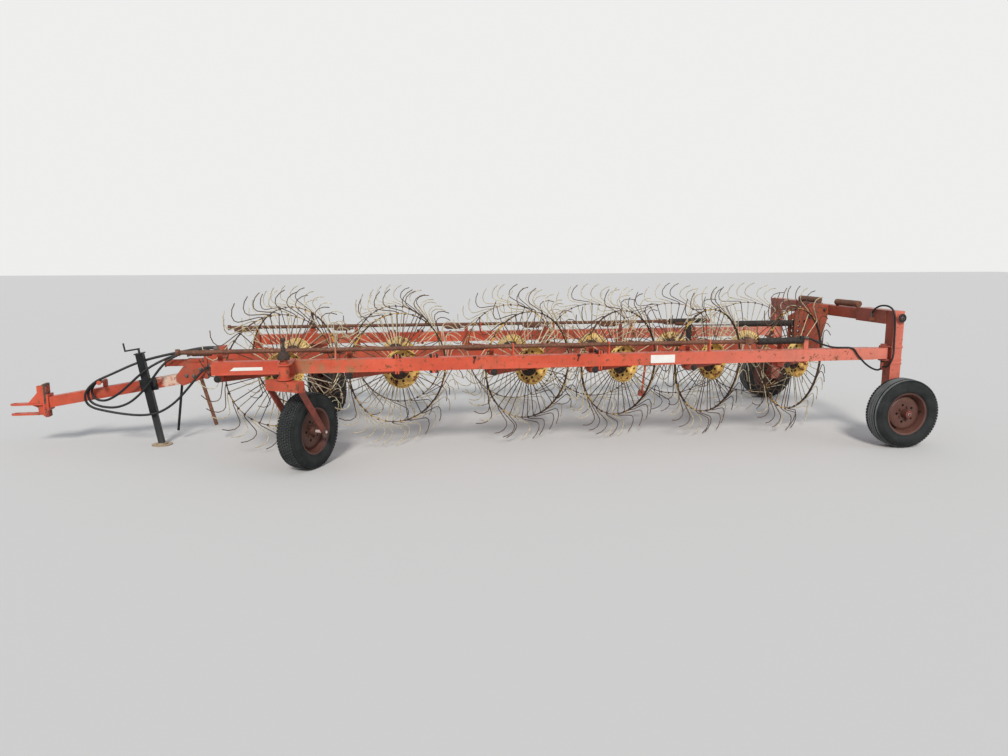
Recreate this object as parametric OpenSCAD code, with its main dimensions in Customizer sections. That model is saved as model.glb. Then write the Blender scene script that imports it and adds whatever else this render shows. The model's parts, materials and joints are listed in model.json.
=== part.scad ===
// Towed V-type rotary hay rake with two side beams, six tined wheels a side and a high rear arch.
// It stands folded for transport, on four tyres and the jack, with the drawbar to the left.
// Distances called _t run forward of the rear post line, and _y runs out from the centre line.

/* [Rear arch] */
// Distance of each rear post from the centre line
post_y = 1000; // [900:10:1100]
// Side of the square rear post
post_w = 100; // [80:2:110]
// Height of the rear post's top
post_top = 1170; // [1150:5:1250]
// Side of the square telescopic cross tube
cross_w = 100; // [80:2:110]
// Height of the cross tube's middle
cross_z = 1110; // [1090:5:1120]
// Wall of the cross tube's outer sleeve
sleeve_wall = 9; // [6:1:12]
// Where the outer sleeve ends, from the centre line
sleeve_y = 530; // [400:10:700]

/* [Spine and mast] */
// Side of the square spine tube
spine_w = 100; // [80:2:110]
// Height of the spine's middle
spine_z = 760; // [740:5:775]
// Front end of the spine
spine_t = 5975; // [5900:5:6000]
// Thickness of the mast's side plates
mast_plate = 12; // [8:1:16]
// Front edge of the mast's side plates
mast_t = 400; // [350:10:450]

/* [Side beams] */
// Side of the square beam tube
beam_w = 100; // [90:2:106]
// Height of the beam's middle
beam_z = 800; // [790:2:810]
// Front end of the beam
beam_t = 5720; // [5715:1:5740]
// Distance of the hinge pin in front of the post's face
hinge_gap = 45; // [42:1:60]
// Radius of the hinge pin
hinge_pin_r = 15; // [12:1:18]
// Thickness of the hinge lugs
lug_th = 12; // [8:1:16]
// Radius of the lift bar over the beam
bar_r = 17; // [12:1:20]
// Height of the lift bar's middle
bar_z = 925; // [915:1:940]

/* [Tine wheels] */
// Radius to the tine tips
tip_r = 680; // [650:2:682]
// Radius of the hoop that ties the tines
hoop_r = 470; // [440:5:480]
// Number of tines on a wheel
tine_n = 40; // [24:1:44]
// Thickness of a tine
tine_th = 7; // [5:0.5:9]
// Radius of the pressed hub dish
dish_r = 165; // [150:1:180]
// Depth of the dish's lip
dish_lip = 60; // [20:1:65]
// Angle between the wheel's plane and the beam
rake_angle = 28; // [24:1:32]
// Distance of the wheel hubs from the centre line
hub_y = 470; // [465:1:490]
// Height of the wheel hubs
hub_z = 690; // [688:1:710]
// Distance from an arm's pivot back to its hub
arm_run = 400; // [380:5:410]

/* [Road wheels] */
// Outer radius of the tyre
tyre_r = 300; // [290:1:302]
// Width of the tyre
tyre_w = 176; // [160:2:190]
// Radius of the tyre's bead
bead_r = 178; // [170:1:185]
// Radius of the rear stub axle
axle_r = 22; // [18:1:24]
// Gap between the post and the tyre
wheel_gap = 45; // [35:1:60]

/* [Front casters] */
// Distance of the caster spindle from the centre line
spindle_y = 1260; // [1255:1:1270]
// Place of the caster spindle along the beam
spindle_t = 5160; // [5150:1:5180]
// Distance that the caster wheel trails its spindle
trail = 260; // [235:1:265]
// Turn of the parked caster from straight behind its spindle
caster_turn = 59; // [45:1:75]
// Thickness of the fork's legs
leg_th = 12; // [8:1:14]

/* [Drawbar] */
// Side of the square drawbar tube
draw_w = 90; // [70:2:100]
// Height of the drawbar's rear end
draw_rear_z = 585; // [575:1:595]
// Height of the drawbar's front end
draw_front_z = 400; // [380:5:420]
// Distance of the jack in front of the drawbar's rear end
jack_run = 330; // [270:10:430]
// Side of the jack's outer tube
jack_w = 60; // [54:2:70]
// Length of the drawbar along the ground
draw_run = 1150; // [1100:10:1200]
// Distance of the hitch pin in front of the drawbar's tube
hitch_run = 280; // [260:1:285]
// Radius of the hitch pin's hole
hitch_r = 16; // [10:1:20]

/* [Hidden] */
// Arm pivots along the beam, from the front one back
PIVOT_T = [beam_t - 45, 4698, 3563, 2725, 1874, 1032];
// Guides of the lift bar along the beam
GUIDE_T = [4800, 3400, 2600, 1720];
// Bolted plate pairs of the beam: place, half height
JOINT_T = [[4330, 72], [4040, 72], [2680, 78]];
// Mid-line of one tine in the wheel's plane: radius, sweep in degrees
TINE = [[100, 0], [hoop_r + 12, 0.5], [tip_r - 152, 17], [tip_r - 108, 20.5], [tip_r - 50, 18.5], [tip_r, 12]];
// Outline of half a tyre past its bead: radius from the tread down, share of the half width
TYRE = [[0, 0.70], [4, 0.80], [14, 0.91], [34, 0.98], [58, 1], [84, 0.95],
  [tyre_r - bead_r - 18, 0.82], [tyre_r - bead_r - 11, 0.72]];
// Tread grooves: offset from the tyre's middle
GROOVES = [-42, -14, 14, 42];
draw_rear_t = spine_t + 155;
draw_front_t = draw_rear_t + draw_run;
jack_t = draw_rear_t + jack_run;
hitch_t = draw_front_t + hitch_run;
strap_r = 40;
tip_t = hitch_t + strap_r;
rear_x = (tip_t - tyre_r) / 2;
fit = 0.05;
seat = 0.3;
pin_x = rear_x - post_w / 2 - hinge_gap;
beam_low = beam_z - beam_w / 2;
beam_top = beam_z + beam_w / 2;
pivot_r = 28;
pivot_z = beam_low - pivot_r + 2;
eye_out = post_y - beam_w / 2 - 8;
eye_w = 58;
eye_r = 42;
arm_w = 50;
hub_axle_r = 15;
hub_len = 60;
arm_off = 100;
lever_top = bar_z - 22;
lever_y = eye_out - eye_w / 2;
wheel_y = post_y + post_w / 2 + wheel_gap + tyre_w / 2;
groove_w = 8;
groove_d = 7;
rim_w = 0.72 * tyre_w;
stub_z = tyre_r;
fork_top = beam_low - 18;
fork_h = 76;
fork_in = tyre_w / 2 + 46;
spindle_r = 20;
sleeve_r = 38;
plate_th = 10;
draw_grip = 60;
draw_len = norm([draw_run, draw_rear_z - draw_front_z]);
draw_slope = atan2(draw_rear_z - draw_front_z, draw_run);
jack_mid_z = draw_rear_z - jack_run * tan(draw_slope);
jack_tube_len = 530;
jack_above = 280;
foot_th = 8;
leg_w = jack_w - 12;
jack_reach = (jack_mid_z - foot_th) / cos(draw_slope);
strap_th = 14;
strap_z = 290;
strap_gap = 72;
flange_th = 12;
flange_w = 140;
flange_h = 250;
flange_drop = 62;
head_w = 70;
head_drop = 45;
head_len = 161;
nose_w = 56;
nose_len = 179;
nose_cap = 8;
prop_r = 11;
prop_len = 500;
flat_prop_len = 430;
cyl_r = 28;
rod_r = 12;
cyl_rear_t = 870;
cyl_front_t = 1282;
bar_rear_t = 1400;
bar_front_t = beam_t + 230;
stay_t = 1900;
stay_len = 400;
width_cyl_r = 30;
width_cyl_in = 150;
width_cyl_len = 350;
open_rod_t = 980;
open_foot_t = 1500;
hose_r = 10;
thin_hose_r = 8;
hose_sides = 10;
peg_r = 12;
peg_t = draw_rear_t + 699;
peg_z = draw_rear_z - 9.2;
block_x = at_x(spine_t) + 126;
swivel_r = 14;
// Routes of the hoses that hang free, each from its rear end: low loop, middle and upper one at the drawbar
HOSE_LOW = [[-2200, -33, 842], [-2275, -33, 845], [-2350, -33, 842], [-2430, -35, 830], [-2510, -36, 815],
  [-2590, -36, 800], [-2670, -36, 784], [-2750, -36, 766], [-2830, -37, 745], [-2900, -46, 722],
  [-2965, -62, 697], [-3030, -82, 668], [-3090, -102, 641], [-3145, -117, 617], [-3190, -128, 596],
  [-3235, -131, 565], [-3275, -133, 525], [-3300, -135, 478], [-3302, -137, 430], [-3282, -139, 388],
  [-3240, -140, 358], [-3180, -141, 338], [-3110, -142, 320], [-3030, -143, 303], [-2950, -144, 290],
  [-2870, -145, 283], [-2790, -145, 287], [-2715, -144, 304], [-2645, -142, 340], [-2580, -139, 388],
  [-2525, -135, 442], [-2475, -130, 498], [-2430, -122, 552], [-2388, -110, 606], [-2343, -98, 652],
  [-2295, -91, 686], [-2245, -90, 690]];
HOSE_MIDDLE = [[-2200, -11, 842], [-2275, -11, 845], [-2350, -11, 842], [-2430, -12, 830], [-2510, -13, 815],
  [-2590, -13, 800], [-2670, -13, 784], [-2750, -13, 766], [-2830, -15, 745], [-2900, -23, 722],
  [-2965, -37, 697], [-3030, -55, 668], [-3090, -73, 641], [-3145, -88, 617], [-3190, -98, 596],
  [-3235, -103, 562], [-3270, -107, 522], [-3286, -110, 476], [-3280, -114, 430], [-3250, -118, 394],
  [-3200, -122, 371], [-3140, -127, 358], [-3075, -132, 356], [-3010, -137, 370], [-2945, -141, 400],
  [-2885, -144, 446], [-2830, -145, 500], [-2780, -145, 560], [-2735, -143, 620], [-2690, -136, 680],
  [-2640, -126, 733], [-2580, -113, 775], [-2510, -99, 805], [-2430, -85, 828], [-2350, -77, 841],
  [-2275, -77, 845], [-2200, -77, 842]];
HOSE_UPPER = [[-2200, 11, 842], [-2275, 11, 845], [-2350, 11, 842], [-2430, 11, 830], [-2510, 10, 815],
  [-2590, 10, 800], [-2670, 10, 784], [-2750, 9, 766], [-2830, 7, 745], [-2900, 0, 722],
  [-2965, -13, 697], [-3030, -29, 668], [-3090, -46, 641], [-3145, -60, 617], [-3190, -68, 596],
  [-3232, -73, 562], [-3260, -78, 521], [-3264, -84, 476], [-3244, -92, 438], [-3202, -101, 416],
  [-3148, -111, 416], [-3090, -121, 440], [-3030, -130, 478], [-2975, -136, 524], [-2920, -141, 573],
  [-2865, -144, 622], [-2810, -143, 668], [-2750, -134, 708], [-2685, -117, 743], [-2615, -96, 774],
  [-2540, -75, 800], [-2450, -60, 824], [-2350, -55, 841], [-2275, -55, 845], [-2200, -55, 842]];
// Routes of the lift cylinder's hose, on the beam as far as the hinge pin and from there over the post
HOSE_BEAM = [[2777, -1022, 956], [2830, -1024, 944], [2890, -1024, 919], [2950, -1022, 893], [3010, -1021, 874],
  [3065, -1020, 862], [3120, -1026, 859], [3170, -1040, 860], [3200, -1054, 859], [3230, -1063, 846],
  [3262, -1064, 806], [3300, -1064, 764], [3345, -1063, 722], [3395, -1060, 688], [3445, -1052, 666],
  [3495, -1035, 656], [3542, -1008, 663]];
HOSE_POST = [[3555, -1015, 680], [3557, -1044, 683], [3562, -1070, 697], [3570, -1088, 724],
  [3580, -1095, 758], [3590, -1092, 797], [3597, -1084, 838], [3600, -1077, 885], [3601, -1073, 935],
  [3601, -1071, 990], [3600, -1069, 1045], [3597, -1067, 1100], [3592, -1059, 1150], [3586, -1035, 1188],
  [3582, -997, 1206], [3578, -948, 1212], [3576, -892, 1206], [3574, -842, 1187], [3573, -804, 1158],
  [3573, -782, 1128], [3573, -776, 1095]];

function at_x(t) = rear_x - t;
function polar(r, a) = [r * cos(a), r * sin(a)];

// Helper shapes
// A box centred across y and z, from one x to another
module bar_x(x0, x1, w, h) {
  translate([x0, -w / 2, -h / 2]) cube([x1 - x0, w, h]);
}
// A round bar along y, from one y to another
module bar_y(r, y0, y1) {
  translate([0, y0, 0]) rotate([-90, 0, 0]) cylinder(r = r, h = y1 - y0, $fn = 48);
}
// A plate lying flat, with one round end about the origin and its root at x = reach
module lug_flat(r, reach, th) {
  cylinder(r = r, h = th, $fn = 48);
  translate([0, -r, 0]) cube([reach, 2 * r, th]);
}
// Everything of the near side is drawn at negative y, and the far side is its mirror image
module on_side(far) {
  if (far) {
    mirror([0, 1, 0]) children();
  } else {
    children();
  }
}

// Spine
module spine() color("orangered") {
  translate([0, 0, spine_z]) bar_x(at_x(spine_t) + flange_th, at_x(100), spine_w, spine_w);
  translate([0, 0, spine_z - flange_drop])
    bar_x(at_x(spine_t), at_x(spine_t) + flange_th, flange_w, flange_h);
  // Blocks that the drawbar's hoses are screwed into
  translate([block_x, -90, spine_z + spine_w / 2 - 2]) cube([50, 115, 54]);
  translate([block_x - 45, -112, spine_z - spine_w / 2 - 40]) cube([44, 64, 45]);
  // Stay that hangs from the spine
  translate([at_x(stay_t), 0, spine_z - spine_w / 2]) rotate([0, 6, 0]) translate([0, 0, -stay_len]) {
    cylinder(r = 10, h = stay_len + 5, $fn = 24);
    bar_x(-30, 30, 50, 50);
  }
}

// Mast
module mast_outline() {
  x_front = at_x(mast_t);
  x_rear = rear_x - cross_w / 2;
  polygon([[x_front, spine_z - 55], [x_front + 260, spine_z - 55], [x_rear, cross_z - 90],
    [x_rear, cross_z + 50], [x_rear - 120, cross_z + 60], [x_front, cross_z - 60]]);
}
module mast() color("orangered") {
  for (s = [-1, 1])
    translate([0, s * (spine_w + mast_plate) / 2 + mast_plate / 2, 0]) rotate([90, 0, 0])
      linear_extrude(mast_plate) difference() {
        mast_outline();
        for (row = [0, 1]) for (k = [0 : 3])
          translate([at_x(mast_t) + 45 + 60 * row, spine_z + 90 + 50 * k]) circle(r = 13, $fn = 32);
      }
  // Spacers between the side plates
  for (p = [[mast_t - 180, spine_z + 190], [mast_t - 330, cross_z]])
    translate([at_x(p[0]), 0, p[1]]) bar_y(20, -spine_w / 2, spine_w / 2);
}

// Cross tube
module crossbar() color("firebrick") {
  difference() {
    translate([rear_x - cross_w / 2, -post_y + post_w / 2 + 20, cross_z - cross_w / 2])
      cube([cross_w, 2 * (post_y - post_w / 2 - 20), cross_w]);
    translate([rear_x - cross_w / 2 + 8, -post_y, cross_z - cross_w / 2 + 8])
      cube([cross_w - 16, 2 * post_y, cross_w - 16]);
  }
}
module crossbar_cylinders() color("dimgray") {
  top = cross_z + cross_w / 2;
  for (far = [false, true]) on_side(far) {
    translate([rear_x - 15, 0, top + width_cyl_r + 6])
      bar_y(width_cyl_r, -width_cyl_in - width_cyl_len, -width_cyl_in);
    for (y = [-width_cyl_in - width_cyl_len + 20, -width_cyl_in - 10])
      translate([rear_x - 25, y - 8, top]) cube([20, 16, 20]);
  }
}
module spine_cylinder() color("gray") {
  lift = 170;
  top = spine_z + spine_w / 2;
  translate([0, 0, top + lift]) {
    rotate([0, 90, 0]) translate([0, 0, at_x(open_rod_t)])
      cylinder(r = 30, h = open_rod_t - mast_t + 55, $fn = 48);
    rotate([0, 90, 0]) translate([0, 0, at_x(open_foot_t - 30)])
      cylinder(r = 15, h = open_foot_t - 30 - open_rod_t + 2, $fn = 32);
    // Pin between the mast's side plates
    translate([at_x(mast_t) + 30, 0, 0]) bar_y(14, -spine_w / 2, spine_w / 2);
  }
  translate([at_x(open_foot_t), -20, top]) cube([40, 40, lift + 25]);
}

// Rear post with its hinge lugs, pin, cross tube sleeve and stub axle
module post(hosed) color("orangered") {
  inner = post_y - post_w / 2;
  translate([rear_x - post_w / 2, -post_y - post_w / 2, stub_z - 45])
    cube([post_w, post_w, post_top - stub_z + 45]);
  // Sleeve that holds the cross tube
  out_w = cross_w + 2 * (sleeve_wall + seat);
  difference() {
    translate([rear_x - out_w / 2, -inner, cross_z - out_w / 2]) cube([out_w, inner - sleeve_y, out_w]);
    translate([rear_x - cross_w / 2 - seat, -inner - 1, cross_z - cross_w / 2 - seat])
      cube([cross_w + 2 * seat, inner - sleeve_y + 2, cross_w + 2 * seat]);
  }
  // Hinge lugs with the pin
  for (z = [beam_low - 3 - lug_th, beam_top + 3])
    translate([pin_x, -post_y, z]) lug_flat(36, hinge_gap + 5, lug_th);
  translate([pin_x, -post_y, beam_low - 30]) cylinder(r = hinge_pin_r, h = beam_w + 60, $fn = 48);
  translate([pin_x, -post_y, beam_top + lug_th + 3]) cylinder(r = 26, h = 16, $fn = 6);
  if (hosed) {
    // Swivel under the pin and the block on the sleeve, which hold the lift cylinder's hose
    translate([pin_x, -post_y, beam_low - 100]) cylinder(r = swivel_r, h = 72, $fn = 32);
    translate([rear_x - out_w / 2 - 31, -post_y + 208, cross_z - 45]) cube([33, 32, 28]);
  }
  // Bands round the post at the lugs
  for (z = [beam_low - 3 - lug_th, beam_top + 3])
    translate([rear_x - post_w / 2 - 4, -post_y - post_w / 2 - 4, z]) cube([post_w + 8, post_w + 8, lug_th]);
  // Round pin head on the post's top and the stub axle
  translate([rear_x + 8, 0, post_top - 60]) bar_y(40, -post_y - post_w / 2 - 26, -post_y);
  translate([rear_x, 0, stub_z]) bar_y(axle_r, -wheel_y - 62, -post_y);
  translate([rear_x, 0, stub_z]) bar_y(axle_r + 12, -post_y - post_w / 2 - wheel_gap + 2, -post_y);
}

// Front head, where the drawbar is bolted
module head_frame() color("orangered") {
  face = at_x(spine_t) - seat;
  step = at_x(spine_t + head_len);
  translate([0, 0, spine_z - flange_drop]) bar_x(face - flange_th, face, flange_w, flange_h);
  translate([0, 0, spine_z - head_drop]) {
    bar_x(step, face - flange_th, head_w, head_w);
    bar_x(step - nose_len, step, nose_w, nose_w);
    bar_x(step - nose_len - nose_cap, step - nose_len, head_w, head_w);
  }
  for (s = [-1, 1])
    translate([0, s * (draw_w / 2 + seat + 6) + 6, 0]) rotate([90, 0, 0]) linear_extrude(12)
      polygon([[face - flange_th, spine_z - 40], [face - flange_th, spine_z - 180],
        [at_x(draw_rear_t + 50), draw_rear_z - 70], [at_x(draw_rear_t + 100), draw_rear_z - 30],
        [at_x(draw_rear_t + 100), draw_rear_z + 20], [at_x(draw_rear_t + 10), spine_z - 40]]);
}
module front_props() color("saddlebrown") {
  // Two stays that hang beside the drawbar's rear end
  side = draw_w / 2 + 12 + 2 * seat + 8;
  round_x = at_x(draw_rear_t + 75);
  flat_x = at_x(spine_t + 41);
  translate([round_x, side + prop_r - 6, draw_rear_z]) rotate([0, 8, 0]) translate([0, 0, -prop_len])
    cylinder(r = prop_r, h = prop_len, $fn = 24);
  translate([round_x, 0, draw_rear_z]) bar_y(12, side - 8, side + 20);
  translate([flat_x, -side - 4, draw_rear_z - 10]) rotate([0, -14, 0]) translate([-15, -5, -flat_prop_len])
    cube([30, 10, flat_prop_len]);
  translate([flat_x, 0, draw_rear_z - 16]) bar_y(12, -side - 18, -side + 8);
}

// Drawbar, hitch and jack
module drawbar() color("orangered") {
  translate([at_x(draw_rear_t), 0, draw_rear_z]) rotate([0, -draw_slope, 0])
    bar_x(-draw_len, draw_grip, draw_w, draw_w);
  translate([at_x(draw_front_t), 0, draw_front_z]) bar_x(-14, 2, draw_w + 30, draw_w + 50);
  // Peg that the hoses hang over
  translate([at_x(peg_t) - 15, -20, peg_z - 70]) cube([30, 40, 72]);
  translate([at_x(peg_t), 0, peg_z]) bar_y(peg_r, -150, 20);
  translate([at_x(peg_t), 0, peg_z]) bar_y(peg_r + 7, -156, -149);
}
module hitch_plate() color("dimgray") {
  face = at_x(draw_front_t) - 14;
  difference() {
    translate([face - 26, -40, strap_z - 20]) cube([26, 80, 290]);
    for (k = [0 : 4]) translate([face, 0, strap_z + 20 + 54 * k]) rotate([0, -90, 0])
      translate([0, 0, -1]) cylinder(r = 9, h = 40, $fn = 32);
  }
}
module hitch_clevis() color("orangered") {
  face = at_x(draw_front_t) - 40;
  // Two cheeks
  for (y = [-6, 18]) translate([0, y, 0]) rotate([90, 0, 0]) linear_extrude(12)
    polygon([[face - 14, strap_z], [face - 14, strap_z + 250], [face - 60, strap_z + 250],
      [face - 60, strap_z + 190], [face - 140, strap_z + 100], [face - 60, strap_z + 60], [face - 60, strap_z]]);
  translate([face - 14, -38, strap_z - 12]) cube([14, 76, 275]);
  for (k = [0, 1]) difference() {
    translate([at_x(hitch_t), 0, strap_z + k * (strap_th + strap_gap)])
      lug_flat(strap_r, face - 14 - at_x(hitch_t), strap_th);
    translate([at_x(hitch_t), 0, strap_z - 10]) cylinder(r = hitch_r, h = 200, $fn = 48);
  }
}
module on_jack() {
  translate([at_x(jack_t), -draw_w / 2 - 13 - jack_w / 2, jack_mid_z]) rotate([0, -draw_slope, 0]) children();
}
module jack_tube() color("dimgray") on_jack() {
  difference() {
    translate([-jack_w / 2, -jack_w / 2, jack_above - jack_tube_len]) cube([jack_w, jack_w, jack_tube_len]);
    translate([-leg_w / 2 - seat, -leg_w / 2 - seat, jack_above - jack_tube_len - 1])
      cube([leg_w + 2 * seat, leg_w + 2 * seat, jack_tube_len - 59]);
  }
  translate([-jack_w / 2 - 8, -jack_w / 2 - 8, jack_above]) cube([jack_w + 16, jack_w + 16, 10]);
  // Bracket on the drawbar's side
  translate([-70, jack_w / 2, -55]) cube([140, 13, 110]);
  // Crank on the jack's head
  translate([0, 0, jack_above + 9]) cylinder(r = 9, h = 42, $fn = 24);
  translate([-110, 0, jack_above + 45]) rotate([0, 90, 0]) cylinder(r = 7, h = 120, $fn = 24);
  translate([-110, 0, jack_above + 39]) cylinder(r = 7, h = 75, $fn = 24);
}
module jack_leg() color("gray") {
  on_jack() translate([-leg_w / 2, -leg_w / 2, -jack_reach + 6]) cube([leg_w, leg_w, jack_reach - 126]);
  translate([at_x(jack_t), -draw_w / 2 - 13 - jack_w / 2, 0])
    translate([jack_reach * sin(draw_slope), 0, 0]) {
      cylinder(r = 85, h = foot_th, $fn = 48);
      cylinder(r = 46, h = foot_th + 12, $fn = 48);
    }
}

// Side beam with its hinge bush, arm pivots, bar guides and caster outrigger
module beam_plate(t, half) {
  for (x = [at_x(t) - 16, at_x(t) + 4])
    translate([x, -post_y, beam_z]) bar_x(0, 12, beam_w + 4, 2 * half);
}
module beam(hosed) color("orangered") {
  difference() {
    union() {
      translate([0, -post_y, beam_z]) bar_x(at_x(beam_t), pin_x, beam_w, beam_w - 6);
      translate([0, -post_y, beam_z]) bar_x(at_x(beam_t), pin_x - 120, beam_w, beam_w);
      translate([pin_x, -post_y, beam_low]) cylinder(r = 38, h = beam_w, $fn = 48);
    }
    translate([pin_x, -post_y, beam_low - 1]) cylinder(r = hinge_pin_r + fit, h = beam_w + 2, $fn = 48);
  }
  for (j = JOINT_T) beam_plate(j[0], j[1]);
  // Pivot tubes for the arms
  for (t = PIVOT_T)
    translate([at_x(t), 0, pivot_z]) bar_y(pivot_r, -post_y - beam_w / 2 - 5, -eye_out + eye_w + 12);
  // Guides for the lift bar
  for (t = GUIDE_T) difference() {
    translate([at_x(t) - 6, -post_y - 24, beam_top - 4]) cube([12, 48, bar_z + bar_r + 10 - beam_top]);
    translate([at_x(t) - 10, -post_y, bar_z]) rotate([0, 90, 0])
      cylinder(r = bar_r + seat, h = 20, $fn = 48);
  }
  // Lug that holds the lift cylinder
  translate([at_x(cyl_rear_t) + 14, -post_y - 8, beam_top - 2]) cube([40, 16, bar_z + 22 - beam_top]);
  // Clip under the lift cylinder's hose
  if (hosed) translate([3055, -post_y - 35, beam_top - 2]) cube([20, 30, 5.3]);
  // Outrigger with the spindle's sleeve
  difference() {
    union() {
      for (z = [beam_top, beam_low - plate_th])
        translate([at_x(spindle_t), -spindle_y, z]) {
          cylinder(r = 55, h = plate_th, $fn = 48);
          translate([-55, 0, 0]) cube([110, spindle_y - post_y + 30, plate_th]);
        }
      translate([at_x(spindle_t), -spindle_y, beam_low]) cylinder(r = sleeve_r, h = beam_w, $fn = 48);
    }
    translate([at_x(spindle_t), -spindle_y, beam_low - 20])
      cylinder(r = spindle_r + fit, h = beam_w + 40, $fn = 48);
  }
}
module lift_cylinder(hosed) color("dimgray") {
  if (hosed) translate([at_x(cyl_rear_t) - 35, -post_y - 30, bar_z + 8]) cube([30, 20, 33]);
  difference() {
    translate([at_x(cyl_front_t), -post_y, bar_z]) rotate([0, 90, 0])
      cylinder(r = cyl_r, h = cyl_front_t - cyl_rear_t, $fn = 48);
    translate([at_x(cyl_front_t) - 1, -post_y, bar_z]) rotate([0, 90, 0])
      cylinder(r = rod_r + seat, h = 200, $fn = 48);
  }
  translate([at_x(cyl_rear_t), -post_y, bar_z]) rotate([0, 90, 0]) cylinder(r = 12, h = 14, $fn = 48);
}
module lift_bar() color("saddlebrown") {
  translate([at_x(bar_front_t), -post_y, bar_z]) rotate([0, 90, 0])
    cylinder(r = bar_r, h = bar_front_t - bar_rear_t, $fn = 48);
  // Clevis block and the rod that goes into the cylinder
  translate([0, -post_y, bar_z]) bar_x(at_x(bar_rear_t) - 5, at_x(bar_rear_t) + 75, 50, 44);
  translate([at_x(bar_rear_t) + 70, -post_y, bar_z]) rotate([0, 90, 0])
    cylinder(r = rod_r, h = 170, $fn = 48);
  // End knob
  translate([at_x(bar_front_t) - 24, -post_y, bar_z]) rotate([0, 90, 0]) cylinder(r = 26, h = 26, $fn = 32);
  // Spring unit and its hook for each arm
  for (t = PIVOT_T) {
    hook_x = min(at_x(t) - 222, at_x(bar_rear_t) + 50);
    translate([hook_x + 7, -lever_y, lever_top]) rotate([0, 90, 0])
      cylinder(r = 8, h = at_x(t) - 33 - hook_x, $fn = 24);
    translate([at_x(t) - 210, -lever_y, lever_top]) rotate([0, 90, 0]) cylinder(r = 16, h = 150, $fn = 32);
    translate([hook_x, -post_y, lever_top - 10]) cube([14, post_y - lever_y + 10, 30]);
  }
}

// Arm: its eye on the beam's pivot tube, the lever to the lift bar and the wheel's axle
module at_hub(t) {
  translate([at_x(t) + arm_run, -hub_y, hub_z]) rotate([0, 0, rake_angle]) rotate([90, 0, 0]) children();
}
module arm(t) color("firebrick") {
  eye_mid = -eye_out + eye_w / 2;
  end_x = arm_run + arm_off * sin(rake_angle);
  end_y = -hub_y - arm_off * cos(rake_angle);
  run = norm([end_x, end_y - eye_mid]);
  dir = atan2(end_y - eye_mid, end_x);
  difference() {
    union() {
      translate([at_x(t), 0, pivot_z]) bar_y(eye_r, -eye_out, -eye_out + eye_w);
      translate([at_x(t), eye_mid, (pivot_z + hub_z) / 2]) rotate([0, 0, dir])
        translate([0, -arm_w / 2, -arm_w / 2]) cube([run, arm_w, arm_w]);
      translate([at_x(t) - 18, -lever_y - 5, pivot_z]) cube([36, 10, lever_top + 16 - pivot_z]);
    }
    translate([at_x(t), 0, pivot_z]) bar_y(pivot_r + fit, -eye_out - 40, -eye_out + eye_w + 40);
  }
  at_hub(t) {
    translate([0, 0, hub_len / 2 + 16]) cylinder(r = 30, h = arm_off - hub_len / 2 + 10, $fn = 48);
    translate([0, 0, -hub_len / 2 - 26]) cylinder(r = hub_axle_r, h = arm_off + hub_len / 2 + 20, $fn = 48);
    translate([0, 0, -hub_len / 2 - 34]) cylinder(r = 24, h = 18, $fn = 6);
  }
}

// Tine wheel: dish, bearing housing, hoop and tines
function tine_pt(i, o) = let (last = len(TINE) - 1,
  p = polar(TINE[i][0], TINE[i][1]),
  a = polar(TINE[max(i - 1, 0)][0], TINE[max(i - 1, 0)][1]),
  b = polar(TINE[min(i + 1, last)][0], TINE[min(i + 1, last)][1]),
  d = (b - a) / norm(b - a)) p + o * [-d[1], d[0]];
module tine() {
  linear_extrude(tine_th) polygon(concat(
    [for (i = [0 : len(TINE) - 1]) tine_pt(i, -tine_th / 2)],
    [for (i = [len(TINE) - 1 : -1 : 0]) tine_pt(i, tine_th / 2)]));
}
module tine_wheel(t) color("gold") at_hub(t) difference() {
  union() {
    for (k = [0 : tine_n - 1]) rotate([0, 0, k * 360 / tine_n]) translate([0, 0, -tine_th]) tine();
    translate([0, 0, -tine_th / 2 - 12]) difference() {
      cylinder(r = hoop_r + 3, h = 24, $fn = 96);
      translate([0, 0, -1]) cylinder(r = hoop_r - 3, h = 26, $fn = 96);
    }
    rotate_extrude($fn = 96) polygon([[0, -tine_th - 4], [dish_r - 45, -tine_th - 4], [dish_r, -3],
      [dish_r, dish_lip], [dish_r - 5, dish_lip], [dish_r - 5, 4], [0, 4]]);
    translate([0, 0, -hub_len / 2]) cylinder(r = 34, h = hub_len, $fn = 48);
    translate([0, 0, -tine_th - 11]) cylinder(r = 106, h = 12, $fn = 64);
  }
  translate([0, 0, -60]) cylinder(r = hub_axle_r + fit, h = 120, $fn = 48);
  // Holes in the dish
  for (k = [0 : 5]) rotate([0, 0, 60 * k]) translate([72, 0, -40]) cylinder(r = 11, h = 80, $fn = 32);
}

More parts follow.
